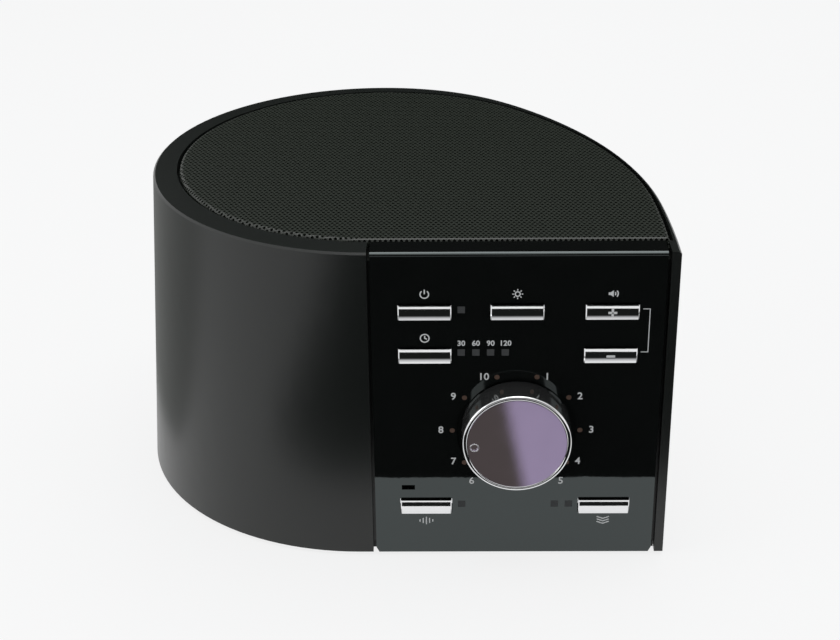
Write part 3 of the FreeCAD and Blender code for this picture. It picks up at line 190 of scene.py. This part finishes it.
# %% Lay the knob's card and the keys' card
CARD_HEIGHT = 0.0008
STRIP_HEIGHT = 0.0005
RIM_STEPS = 32
OVAL_MARGIN = 1.16
KEY_CARD_OUT = 122
UPPER_KEYS = ["power_key", "display_key", "timer_key", "volume_up_key", "volume_down_key"]


def seen_on_table(place):
    """Where the camera's line of sight meets the table after an upright mirror at place."""
    eye = camera.location
    eye_behind = Vector((eye.x, 2 * place.y - eye.y, eye.z))
    reach = (place.z - CARD_HEIGHT) / (eye_behind.z - place.z)
    return place + (place - eye_behind) * reach


def graded_card(card, weights, first, last):
    """A glowing card with a ramp between two (place, colour) pairs along its weighted axes."""
    material = glow(card.name, (0, 0, 0))
    tree = material.node_tree
    where = tree.nodes.new("ShaderNodeTexCoord")
    along = tree.nodes.new("ShaderNodeVectorMath")
    along.operation = "DOT_PRODUCT"
    along.inputs[1].default_value = weights
    share = tree.nodes.new("ShaderNodeMapRange")
    share.interpolation_type = "SMOOTHSTEP"
    share.inputs["From Min"].default_value = first[0]
    share.inputs["From Max"].default_value = last[0]
    blend = tree.nodes.new("ShaderNodeMix")
    blend.data_type = "RGBA"
    blend.inputs["A"].default_value = (*first[1], 1)
    blend.inputs["B"].default_value = (*last[1], 1)
    tree.links.new(where.outputs["Object"], along.inputs[0])
    tree.links.new(along.outputs["Value"], share.inputs["Value"])
    tree.links.new(share.outputs["Result"], blend.inputs["Factor"])
    emitter = next(node for node in tree.nodes if node.type == "EMISSION")
    tree.links.new(blend.outputs["Result"], emitter.inputs["Color"])
    clear = tree.nodes.new("ShaderNodeBsdfTransparent")
    both = tree.nodes.new("ShaderNodeAddShader")
    tree.links.new(emitter.outputs[0], both.inputs[0])
    tree.links.new(clear.outputs[0], both.inputs[1])
    output = next(node for node in tree.nodes if node.type == "OUTPUT_MATERIAL")
    tree.links.new(both.outputs[0], output.inputs["Surface"])
    only_in_reflections(card, material)


def light_only(card, nodes):
    """Let a card show in these mirrors and nowhere else."""
    mirrors = bpy.data.collections.new(card.name + "_mirrors")
    for node in nodes:
        mirrors.objects.link(frame["nodes"][node])
    card.light_linking.receiver_collection = mirrors


face_low, face_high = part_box("knob_face")
face_middle = (face_low + face_high) / 2
face_radius = (face_high.x - face_low.x) / 2
table = []
for step in range(RIM_STEPS):
    angle = 2 * math.pi * step / RIM_STEPS
    table.append(seen_on_table(Vector((face_middle.x + face_radius * math.cos(angle), face_low.y,
                                       face_middle.z + face_radius * math.sin(angle)))))
oval_low = Vector((min(spot.x for spot in table), min(spot.y for spot in table), CARD_HEIGHT))
oval_high = Vector((max(spot.x for spot in table), max(spot.y for spot in table), CARD_HEIGHT))
bpy.ops.mesh.primitive_circle_add(vertices=64, radius=0.5, fill_type="NGON",
                                  location=(oval_low + oval_high) / 2)
oval = bpy.context.object
oval.name = "knob_card"
oval.scale = ((oval_high.x - oval_low.x) * OVAL_MARGIN, (oval_high.y - oval_low.y) * OVAL_MARGIN, 1)
graded_card(oval, (1, -0.12, 0), (-0.10, (0.066, 0.056, 0.050)), (0.06, (0.32, 0.275, 0.38)))
light_only(oval, ["knob_face"])

strip = flat_card("key_card", (-100, 200), (CARD_EDGE, KEY_CARD_OUT), STRIP_HEIGHT)
graded_card(strip, (0, 1, 0), (-0.5, (0, 0, 0)), (0.5, (0.72, 0.72, 0.73)))
light_only(strip, UPPER_KEYS)
print("knob card:", [round(side / MM, 1) for side in (oval_high - oval_low)[:2]], "mm")
print("key card:", round(KEY_CARD_OUT - CARD_EDGE, 1), "mm deep, for", len(UPPER_KEYS), "keys")

# %% [markdown]
# The floor is plain white card. Seen by the camera or in a gloss it shows a steady pale tone,
# and a small share of its own shading stays so the object's contact shadow still reads.
# The lamps are soft boxes: one overhead, and one on the left that shapes the round side.

# %% Light the stage
PALE = 0.955
STEADY_SHARE = 0.86
ROOM_COLOUR = (0.9, 0.95, 1.0, 1)
ROOM_STRENGTH = 0.42

white = bpy.data.materials.new("pale_floor")
white.use_nodes = True
tree = white.node_tree
matt = tree.nodes["Principled BSDF"]
matt.inputs["Base Color"].default_value = (PALE, PALE, PALE, 1)
matt.inputs["Roughness"].default_value = 0.9
steady = tree.nodes.new("ShaderNodeEmission")
steady.inputs["Color"].default_value = (PALE, PALE, PALE, 1)
path = tree.nodes.new("ShaderNodeLightPath")


def add_up(tree, first, second):
    """The sum of two outputs, held between nought and one."""
    node = tree.nodes.new("ShaderNodeMath")
    node.operation = "ADD"
    node.use_clamp = True
    tree.links.new(first, node.inputs[0])
    tree.links.new(second, node.inputs[1])
    return node.outputs[0]


def seen_directly(tree, path):
    """One for a ray from the camera, from a gloss or through a clear surface."""
    glossy = add_up(tree, path.outputs["Is Camera Ray"], path.outputs["Is Glossy Ray"])
    return add_up(tree, glossy, path.outputs["Is Transmission Ray"])


share = tree.nodes.new("ShaderNodeMath")
share.operation = "MULTIPLY"
share.inputs[1].default_value = STEADY_SHARE
tree.links.new(seen_directly(tree, path), share.inputs[0])
mix = tree.nodes.new("ShaderNodeMixShader")
tree.links.new(share.outputs[0], mix.inputs[0])
tree.links.new(matt.outputs[0], mix.inputs[1])
tree.links.new(steady.outputs[0], mix.inputs[2])
tree.links.new(mix.outputs[0], tree.nodes["Material Output"].inputs["Surface"])
floor.data.materials.append(white)

world = bpy.data.worlds.new("studio")
world.use_nodes = True
bpy.context.scene.world = world
tree = world.node_tree
room = tree.nodes["Background"]
room.inputs["Color"].default_value = ROOM_COLOUR
room.inputs["Strength"].default_value = ROOM_STRENGTH
backdrop = tree.nodes.new("ShaderNodeBackground")
backdrop.inputs["Color"].default_value = (PALE, PALE, PALE, 1)
path = tree.nodes.new("ShaderNodeLightPath")
mix = tree.nodes.new("ShaderNodeMixShader")
tree.links.new(seen_directly(tree, path), mix.inputs[0])
tree.links.new(room.outputs[0], mix.inputs[1])
tree.links.new(backdrop.outputs[0], mix.inputs[2])
tree.links.new(mix.outputs[0], tree.nodes["World Output"].inputs["Surface"])


def soft_box(name, place, target, side, power):
    """A square lamp at place that faces target."""
    lamp = bpy.data.lights.new(name, "AREA")
    lamp.size = side
    lamp.energy = power
    box = bpy.data.objects.new(name, lamp)
    bpy.context.scene.collection.objects.link(box)
    box.location = place
    box.rotation_euler = (Vector(target) - Vector(place)).to_track_quat("-Z", "Y").to_euler()
    return box


soft_box("overhead_box", place=(0.1, 0.15, 1.25), target=(0, 0, 0), side=1.1, power=9)
soft_box("left_box", place=(-1.1, -0.35, 0.5), target=(0, 0, 0.06), side=0.7, power=2.6)

# %% [markdown]
# Every finish is built from the same few ideas: a fine noise moves the colour a little, makes
# the gloss uneven and raises a slight grain. The helper takes the real grain size, so a
# moulded skin, a brushed nut and a paper cone differ only in their numbers.

# %% A helper for finishes
FINISHES = {}


def finish(name, shade, second, metal=0.0, rough=(0.4, 0.5), grain=0.4, relief=0.1, ior=1.5,
           stretch=None):
    """A material whose colour, gloss and relief vary with a noise of the given grain, in mm."""
    material = bpy.data.materials.new(name)
    material.use_nodes = True
    tree = material.node_tree
    shader = tree.nodes["Principled BSDF"]
    shader.inputs["Metallic"].default_value = metal
    shader.inputs["IOR"].default_value = ior
    place = tree.nodes.new("ShaderNodeTexCoord")
    source = place.outputs["Object"]
    if stretch:
        mapping = tree.nodes.new("ShaderNodeMapping")
        mapping.inputs["Scale"].default_value = stretch
        tree.links.new(source, mapping.inputs["Vector"])
        source = mapping.outputs["Vector"]
    noise = tree.nodes.new("ShaderNodeTexNoise")
    noise.inputs["Scale"].default_value = 1 / (grain * MM)
    noise.inputs["Detail"].default_value = 3
    tree.links.new(source, noise.inputs["Vector"])
    tint = tree.nodes.new("ShaderNodeMix")
    tint.data_type = "RGBA"
    tint.inputs["A"].default_value = (*shade, 1)
    tint.inputs["B"].default_value = (*second, 1)
    tree.links.new(noise.outputs["Fac"], tint.inputs["Factor"])
    tree.links.new(tint.outputs["Result"], shader.inputs["Base Color"])
    gloss = tree.nodes.new("ShaderNodeMapRange")
    gloss.inputs["To Min"].default_value = rough[0]
    gloss.inputs["To Max"].default_value = rough[1]
    tree.links.new(noise.outputs["Fac"], gloss.inputs["Value"])
    tree.links.new(gloss.outputs["Result"], shader.inputs["Roughness"])
    bump = tree.nodes.new("ShaderNodeBump")
    bump.inputs["Strength"].default_value = relief
    bump.inputs["Distance"].default_value = grain * MM * 0.1
    tree.links.new(noise.outputs["Fac"], bump.inputs["Height"])
    tree.links.new(bump.outputs["Normal"], shader.inputs["Normal"])
    FINISHES[name] = material
    return material


# %% [markdown]
# The cabinet is moulded with a fine matt skin that breaks the reflections into soft gradients.
# The panel is polished black plastic with only a breath of unevenness, and the lid is sheet
# steel under satin paint. Chrome and the knob's mirror take their look from what they reflect.

# %% Name the finishes
finish("satin_black", (0.0052, 0.0068, 0.0058), (0.0082, 0.0102, 0.0088), rough=(0.28, 0.36), grain=0.35,
       relief=0.4, ior=1.52)
finish("gloss_black", (0.0035, 0.0038, 0.0036), (0.005, 0.0055, 0.0052), rough=(0.02, 0.045),
       grain=9, relief=0.02, ior=1.7)
gloss_shader = FINISHES["gloss_black"].node_tree.nodes["Principled BSDF"]
gloss_shader.inputs["Specular Tint"].default_value = (0.88, 1, 1, 1)
finish("grille_paint", (0.009, 0.0125, 0.0085), (0.015, 0.0195, 0.0135), rough=(0.36, 0.5),
       grain=0.25, relief=0.2)
finish("black_chrome", (0.36, 0.36, 0.36), (0.42, 0.42, 0.41), metal=0.93, rough=(0.08, 0.13),
       grain=6, relief=0.02)
finish("bright_chrome", (0.80, 0.81, 0.82), (0.88, 0.88, 0.89), metal=1, rough=(0.04, 0.09),
       grain=3, relief=0.02)
finish("knob_lens", (0.78, 0.73, 0.82), (0.86, 0.80, 0.9), metal=1, rough=(0.05, 0.09),
       grain=8, relief=0.015)
finish("amber_lens", (0.075, 0.048, 0.036), (0.13, 0.075, 0.052), rough=(0.35, 0.5), grain=0.4, relief=0.1,
       ior=1.3)
finish("smoke_lens", (0.052, 0.053, 0.053), (0.075, 0.076, 0.076), rough=(0.4, 0.55), grain=0.5, relief=0.1,
       ior=1.12)
finish("rubber_black", (0.012, 0.012, 0.012), (0.022, 0.022, 0.022), rough=(0.7, 0.85), grain=0.5, relief=0.4)
finish("foam_grey", (0.02, 0.02, 0.02), (0.05, 0.05, 0.05), rough=(0.85, 0.98), grain=0.6, relief=0.8)
finish("inner_plastic", (0.016, 0.017, 0.017), (0.026, 0.027, 0.027), rough=(0.5, 0.65),
       grain=0.4, relief=0.3)
finish("board_green", (0.01, 0.07, 0.03), (0.014, 0.1, 0.045), rough=(0.3, 0.45), grain=1.5, relief=0.2)
finish("chip_black", (0.014, 0.014, 0.015), (0.025, 0.025, 0.026), rough=(0.45, 0.6), grain=0.2, relief=0.2)
finish("steel", (0.5, 0.5, 0.49), (0.66, 0.66, 0.64), metal=1, rough=(0.22, 0.4), grain=0.3, relief=0.15,
       stretch=(1, 1, 0.1))
finish("frame_steel", (0.02, 0.02, 0.02), (0.03, 0.03, 0.03), metal=0.3, rough=(0.35, 0.5),
       grain=0.5, relief=0.2)
finish("ferrite", (0.05, 0.05, 0.055), (0.09, 0.09, 0.09), rough=(0.7, 0.9), grain=0.4, relief=0.4)
finish("cone_paper", (0.02, 0.02, 0.021), (0.045, 0.045, 0.045), rough=(0.8, 0.95), grain=0.8, relief=0.6)
finish("ribbon_grey", (0.35, 0.35, 0.35), (0.5, 0.5, 0.5), rough=(0.4, 0.5), grain=1.0, relief=0.2,
       stretch=(1, 0.05, 1))
finish("light_white", (0.7, 0.66, 0.5), (0.85, 0.8, 0.66), rough=(0.2, 0.35), grain=0.5, relief=0.1)
finish("print_white", (0.60, 0.60, 0.59), (0.72, 0.72, 0.71), rough=(0.45, 0.6), grain=0.25, relief=0.15)

NODE_FINISH = {"status_windows": "smoke_lens"}
for entry in frame["record"]["subparts"]:
    node = frame["nodes"][entry["node"]]
    name = NODE_FINISH.get(entry["node"], entry["material_slot"])
    node.data.materials.clear()
    node.data.materials.append(FINISHES[name])
print("finishes:", len(FINISHES))

# %% [markdown]
# The lid is a sheet of steel, punched all over and then pressed so that its edge turns down.
# Because it is punched first, the holes run over the bend and leave the row of bright teeth
# that shows along the front. The same order works here: a flat field of punched cells is
# made, and each of its points is then wrapped over the lid's bent edge.

# %% Find the lid's outline
lid_low, lid_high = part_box("grille")
LID_BEND = 1.6
LID_SKIRT = 1.6
LID_SHEET = 0.8
LOW_EDGE = 0.2
lid_node = frame["nodes"]["grille"]
lid_points = np.array([vertex.co for vertex in lid_node.data.vertices])
wall_points = lid_points[lid_points[:, 2] < lid_low.z + LOW_EDGE * MM]


def convex_outline(points):
    """The outermost points, in order round the lid."""
    points = sorted({(round(x, 6), round(y, 6)) for x, y in points})

    def half(points):
        chain = []
        for point in points:
            while len(chain) > 1 and turn_of(chain[-2], chain[-1], point) <= 0:
                chain.pop()
            chain.append(point)
        return chain[:-1]

    def turn_of(first, second, third):
        return ((second[0] - first[0]) * (third[1] - first[1])
                - (second[1] - first[1]) * (third[0] - first[0]))

    return np.array(half(points) + half(points[::-1]))


outline = convex_outline(wall_points[:, :2])
runs = np.roll(outline, -1, axis=0) - outline
lengths = np.linalg.norm(runs, axis=1)
outward = np.stack([runs[:, 1], -runs[:, 0]], axis=1) / lengths[:, None]
print("lid outline:", len(outline), "points")


def from_inner_line(points):
    """Distance past the line where the bend starts, with the direction across that line."""
    inset = LID_BEND * MM
    best = np.full(len(points), -np.inf)
    across = np.zeros((len(points), 2))
    for start, normal in zip(outline, outward):
        reach = (points - start) @ normal + inset
        closer = reach > best
        best = np.where(closer, reach, best)
        across[closer] = normal
    return best, across


# %% [markdown]
# A staggered pattern is a honeycomb of equal cells, each with one hole. Every cell is only a
# ring of six faces and a six-sided wall down through the sheet, because there are thousands of
# them and each is under two millimetres wide. Cells that would lie past the skirt aren't made.

# %% Punch and press the lid
PITCH = 1.8
HOLE_RADIUS = 0.6
HOLE_SIDES = 6
FIELD_MARGIN = 3
WELD = 0.02

lid_reach_x = np.arange(lid_low.x - FIELD_MARGIN * MM, lid_high.x + FIELD_MARGIN * MM, PITCH * MM)
row_step = PITCH * MM * math.sqrt(3) / 2
lid_reach_y = np.arange(lid_low.y - FIELD_MARGIN * MM, lid_high.y + FIELD_MARGIN * MM, row_step)
centres = np.array([(x + (row % 2) * PITCH * MM / 2, y)
                    for row, y in enumerate(lid_reach_y) for x in lid_reach_x])
past = from_inner_line(centres)[0]
bend_length = LID_BEND * math.pi / 2
centres = centres[past < (bend_length + LID_SKIRT) * MM]

cell_angles = np.radians(np.arange(HOLE_SIDES) * 60 + 30)
rim = np.stack([np.cos(cell_angles), np.sin(cell_angles)], axis=1)
cell_rim = rim * PITCH * MM / math.sqrt(3)
hole_rim = rim * HOLE_RADIUS * MM

flat = []
depth = []
faces = []
for centre in centres:
    first = len(flat)
    for ring, down in ((cell_rim, 0.0), (hole_rim, 0.0), (hole_rim, LID_SHEET * MM)):
        flat.extend(centre + ring)
        depth.extend([down] * HOLE_SIDES)
    for side in range(HOLE_SIDES):
        after = (side + 1) % HOLE_SIDES
        faces.append((first + side, first + after, first + HOLE_SIDES + after, first + HOLE_SIDES + side))
        faces.append((first + HOLE_SIDES + side, first + HOLE_SIDES + after,
                      first + 2 * HOLE_SIDES + after, first + 2 * HOLE_SIDES + side))
flat = np.array(flat)
depth = np.array(depth)


def press(points, down):
    """Wrap flat points over the lid's bent edge; down is how deep they lie in the sheet."""
    past, across = from_inner_line(points)
    radius = LID_BEND * MM
    angle = np.clip(past / radius, 0, math.pi / 2)
    below = np.maximum(past - radius * math.pi / 2, 0)
    on_line = points - across * past[:, None]
    bent = past > 0
    out = (radius - down) * np.sin(angle)
    place = np.where(bent[:, None], on_line + across * out[:, None], points)
    drop = np.where(bent, radius - (radius - down) * np.cos(angle) + below, down)
    return np.column_stack([place, lid_high.z - drop])


mesh = bpy.data.meshes.new("punched_lid")
mesh.from_pydata([tuple(point) for point in press(flat, depth)], [], faces)
work = bmesh.new()
work.from_mesh(mesh)
bmesh.ops.remove_doubles(work, verts=work.verts, dist=WELD * MM)
work.to_mesh(mesh)
work.free()
lid = bpy.data.objects.new("punched_lid", mesh)
bpy.context.scene.collection.objects.link(lid)
lid.data.materials.append(FINISHES["grille_paint"])
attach(lid, "cabinet")
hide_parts("grille")
print("punched holes:", len(centres), "faces:", len(mesh.polygons))

# %% [markdown]
# The panel's marks are screen printed: a film of white ink a few hundredths of a millimetre
# thick. Strokes are drawn as flat ribbons with the real line width, and numerals come from
# the built-in type. The places of names stay bare, and the dial carries plain numbers.

# %% Draw strokes in ink
INK = 0.03
STROKE = 0.42


def ribbon(points, width=STROKE, closed=False):
    """The outline faces of a line of given width through points on the panel."""
    points = [Vector(point) for point in points]
    count = len(points)
    left, right_side = [], []
    for index, point in enumerate(points):
        before = points[index - 1] if index or closed else point
        after = points[(index + 1) % count] if index < count - 1 or closed else point
        incoming = (point - before).normalized() if (point - before).length else None
        outgoing = (after - point).normalized() if (after - point).length else None
        incoming = incoming or outgoing
        outgoing = outgoing or incoming
        along = (incoming + outgoing).normalized()
        side = Vector((-along.y, along.x))
        stretch = width / 2 / max(side.dot(Vector((-incoming.y, incoming.x))), 0.4)
        left.append(point + side * stretch)
        right_side.append(point - side * stretch)
    links = count if closed else count - 1
    return [(left[i], left[(i + 1) % count], right_side[(i + 1) % count], right_side[i])
            for i in range(links)]


def circle_points(centre, radius, start=0.0, sweep=360.0, steps=28):
    """Points on an arc, clockwise from the top, with start and sweep in degrees."""
    whole = sweep == 360.0
    return [(centre[0] + radius * math.sin(math.radians(start + sweep * step / steps)),
             centre[1] + radius * math.cos(math.radians(start + sweep * step / steps)))
            for step in range(steps + (0 if whole else 1))]


def print_marks(name, polygons):
    """Make one inked piece from flat polygons measured on the panel."""
    work = bmesh.new()
    for polygon in polygons:
        corners = [work.verts.new(on_panel(x, z, INK)) for x, z in polygon]
        work.faces.new(corners)
    grown = bmesh.ops.extrude_face_region(work, geom=work.faces[:])
    moved = [item for item in grown["geom"] if isinstance(item, bmesh.types.BMVert)]
    bmesh.ops.translate(work, verts=moved, vec=Vector((0, INK * MM, 0)))
    bmesh.ops.recalc_face_normals(work, faces=work.faces[:])
    mesh = bpy.data.meshes.new(name)
    work.to_mesh(mesh)
    work.free()
    piece = bpy.data.objects.new(name, mesh)
    bpy.context.scene.collection.objects.link(piece)
    piece.data.materials.append(FINISHES["print_white"])
    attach(piece, "cabinet")
    return piece


# %% [markdown]
# Each key gets a plain sign above or below it, the kind that any bedside device carries: a
# standby sign, a sun for brightness, a clock, a loudspeaker, bars for an automatic level and
# stacked sheets for layers. Signs read in every language and name nobody.

# %% Print the signs
SIGN_ROW = 104.7
CLOCK_ROW = 88.0
BARS_ROW = 13.6
SHEETS_ROW = 13.8
LOUDSPEAKER_SHIFT = 0.4
BRACKET_STROKE = 0.28


def standby(x, z, size=1.45):
    """An open ring with a bar through its gap."""
    ring = ribbon(circle_points((x, z), size, 38, 284, 24))
    bar = ribbon([(x, z + 0.1), (x, z + size * 1.25)])
    return ring + bar


def sun(x, z, size=0.85):
    """A ring with eight rays."""
    shapes = ribbon(circle_points((x, z), size, steps=20), closed=True)
    for ray in range(8):
        near = circle_points((x, z), size + 0.45, 45 * ray, 1, 1)[0]
        far = circle_points((x, z), size + 1.0, 45 * ray, 1, 1)[0]
        shapes += ribbon([near, far], STROKE * 0.9)
    return shapes


def clock(x, z, size=1.5):
    """A ring with two hands."""
    face = ribbon(circle_points((x, z), size), closed=True)
    return face + ribbon([(x, z + size * 0.62), (x, z), (x + size * 0.5, z - size * 0.25)])


def loudspeaker(x, z, size=1.0):
    """A horn with two waves."""
    body = [((x - 1.9, z - 0.5), (x - 1.9, z + 0.5), (x - 1.2, z + 0.5), (x - 0.2, z + 1.25),
             (x - 0.2, z - 1.25), (x - 1.2, z - 0.5))]
    for wave in (1, 2):
        body += ribbon(circle_points((x - 0.4, z), size * 0.85 * wave, 50, 80, 8))
    return body


def level_bars(x, z):
    """Five upright bars, the tallest in the middle."""
    shapes = []
    for index, height in enumerate((0.5, 1.1, 1.6, 1.1, 0.5)):
        across = x + (index - 2) * 1.15
        shapes += ribbon([(across, z - height), (across, z + height)])
    return shapes


def stacked_sheets(x, z):
    """Three sheets, each seen as its two near edges."""
    shapes = []
    for level in (-0.75, 0.3, 1.35):
        shapes += ribbon([(x - 2.2, z + level), (x, z + level - 0.85), (x + 2.2, z + level)])
    return shapes


power_x = (middle_of("power_key").x - panel_low.x) / MM
display_x = (middle_of("display_key").x - panel_low.x) / MM
right_x = (middle_of("volume_up_key").x - panel_low.x) / MM
print_marks("key_signs",
            standby(power_x, SIGN_ROW) + sun(display_x, SIGN_ROW) + clock(power_x, CLOCK_ROW)
            + loudspeaker(right_x + LOUDSPEAKER_SHIFT, SIGN_ROW) + level_bars(power_x, BARS_ROW)
            + stacked_sheets(right_x, SHEETS_ROW))
BRACKET = [(92.4, 98.9), (94.85, 98.9), (94.85, 82.4), (92.4, 82.4)]
print_marks("volume_bracket", ribbon(BRACKET, BRACKET_STROKE))
print("signs printed")

# %% [markdown]
# Numerals are type, turned upright and laid on the panel. The dial counts its ten places from
# the top, clockwise, and the four timer lights carry their minutes.

# %% Print the numerals
TYPE_SIZE_SHARE = 1.42
TYPE_WEIGHT = 0.06
DIAL_HEIGHT = 2.7
MINUTES_HEIGHT = 1.95
MINUTES_LEFT, MINUTES_PITCH, MINUTES_ROW = 30.8, 5.05, 85.9


def numeral(text, x, z, height):
    """A number of the given height, printed with its middle at x and z on the panel."""
    bpy.ops.object.text_add()
    sign = bpy.context.object
    sign.data.body = text
    sign.data.size = height * TYPE_SIZE_SHARE * MM
    sign.data.align_x = "CENTER"
    sign.data.align_y = "CENTER"
    sign.data.offset = TYPE_WEIGHT * MM
    sign.data.resolution_u = 3
    sign.data.extrude = INK * MM / 2
    bpy.ops.object.convert(target="MESH")
    sign = bpy.context.object
    stand = Matrix.Rotation(math.radians(90), 4, "X")
    sign.data.transform(Matrix.Translation(on_panel(x, z, INK / 2)) @ stand)
    sign.name = "number_" + text + "_" + str(round(x))
    sign.data.materials.append(FINISHES["print_white"])
    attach(sign, "cabinet")
    sign.select_set(False)
    return sign


DIAL_NUMBERS = ((60.6, 72.8), (72.2, 65.0), (76.6, 51.5), (72.2, 38.6), (66.4, 30.4),
                (34.6, 30.4), (28.1, 38.6), (23.7, 51.5), (28.1, 65.0), (38.6, 72.8))
for place, (x, z) in enumerate(DIAL_NUMBERS, start=1):
    numeral(str(place), x, z, DIAL_HEIGHT)
for step, minutes in enumerate((30, 60, 90, 120)):
    numeral(str(minutes), MINUTES_LEFT + step * MINUTES_PITCH, MINUTES_ROW, MINUTES_HEIGHT)
print("numerals printed")

# %% [markdown]
# The volume keys carry a raised plus and minus, moulded in white through the chromed face. Each
# is a bar set into the crowned face, so it starts as a cube, is bevelled and then rides on its
# key's own body, because it has to move when the key is pressed.

# %% Raise the plus and minus
BAR_LENGTH = 3.0
BAR_WIDTH = 0.8
BAR_DEPTH = 0.6
BAR_BEVEL = 0.12
BAR_SUNK = 0.12


def raised_bar(name, key, long, tall, body):
    """A small bevelled bar standing out of the middle of a key's crowned face."""
    low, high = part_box(key)
    bpy.ops.mesh.primitive_cube_add(size=1, location=(0, 0, 0))
    bar = bpy.context.object
    bar.name = name
    bar.data.transform(Matrix.Diagonal((long * MM, BAR_DEPTH * MM, tall * MM, 1)))
    bpy.ops.object.mode_set(mode="EDIT")
    bpy.ops.mesh.select_all(action="SELECT")
    bpy.ops.mesh.bevel(offset=BAR_BEVEL * MM, segments=2, affect="EDGES")
    bpy.ops.object.mode_set(mode="OBJECT")
    middle = (low + high) / 2
    bar.data.transform(Matrix.Translation((middle.x, low.y + BAR_SUNK * MM, middle.z)))
    bpy.ops.object.shade_smooth_by_angle(angle=math.radians(40))
    bar.data.materials.append(FINISHES["print_white"])
    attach(bar, body)
    bar.select_set(False)


raised_bar("minus_bar", "volume_down_key", BAR_LENGTH, BAR_WIDTH, "volume_down_button")
raised_bar("plus_bar_across", "volume_up_key", BAR_LENGTH, BAR_WIDTH, "volume_up_button")
raised_bar("plus_bar_up", "volume_up_key", BAR_WIDTH, BAR_LENGTH, "volume_up_button")
print("raised bars: 3")

# %% [markdown]
# The knob's face is framed by a polished bead, and its finger dimple has a turned lip. Both are
# rings, so both start as a torus. The bead stays round and the lip is very fine and flattened.

# %% Turn the knob's bead and the dimple's lip
BEAD = 0.92
BEAD_SEGMENTS = 144
LIP_RADIUS, LIP_THICKNESS, LIP_DEPTH = 1.45, 0.16, 0.12
LIP_SEGMENTS = 48
DIMPLE_REACH, DIMPLE_ANGLE = 14.9, math.radians(-95)


def ring_piece(name, centre, radius, thickness, depth, segments):
    """A chromed ring that faces the viewer and turns with the knob."""
    bpy.ops.mesh.primitive_torus_add(major_radius=radius * MM, minor_radius=thickness * MM,
                                     major_segments=segments, minor_segments=20)
    ring = bpy.context.object
    ring.name = name
    ring.data.transform(Matrix.Rotation(math.radians(90), 4, "X"))
    ring.data.transform(Matrix.Diagonal((1, depth / thickness, 1, 1)))
    ring.data.transform(Matrix.Translation(centre))
    bpy.ops.object.mode_set(mode="EDIT")
    bpy.ops.mesh.select_all(action="SELECT")
    bpy.ops.mesh.normals_make_consistent(inside=False)
    bpy.ops.object.mode_set(mode="OBJECT")
    bpy.ops.object.shade_smooth()
    ring.data.materials.append(FINISHES["bright_chrome"])
    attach(ring, "knob")
    ring.select_set(False)
    return ring


knob = middle_of("knob_ring")
ring_low, ring_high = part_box("knob_ring")
KNOB_RADIUS = (ring_high.x - ring_low.x) / 2 / MM
bead = ring_piece("polished_bead", Vector((knob.x, ring_low.y + BEAD * MM, knob.z)),
                  KNOB_RADIUS - BEAD, BEAD, BEAD, BEAD_SEGMENTS)
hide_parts("knob_ring")

dimple = Vector((knob.x + DIMPLE_REACH * MM * math.sin(DIMPLE_ANGLE), face_low.y,
                 knob.z + DIMPLE_REACH * MM * math.cos(DIMPLE_ANGLE)))
lip = ring_piece("dimple_lip", dimple, LIP_RADIUS, LIP_THICKNESS, LIP_DEPTH, LIP_SEGMENTS)
print("knob radius:", round(KNOB_RADIUS, 2), "mm")
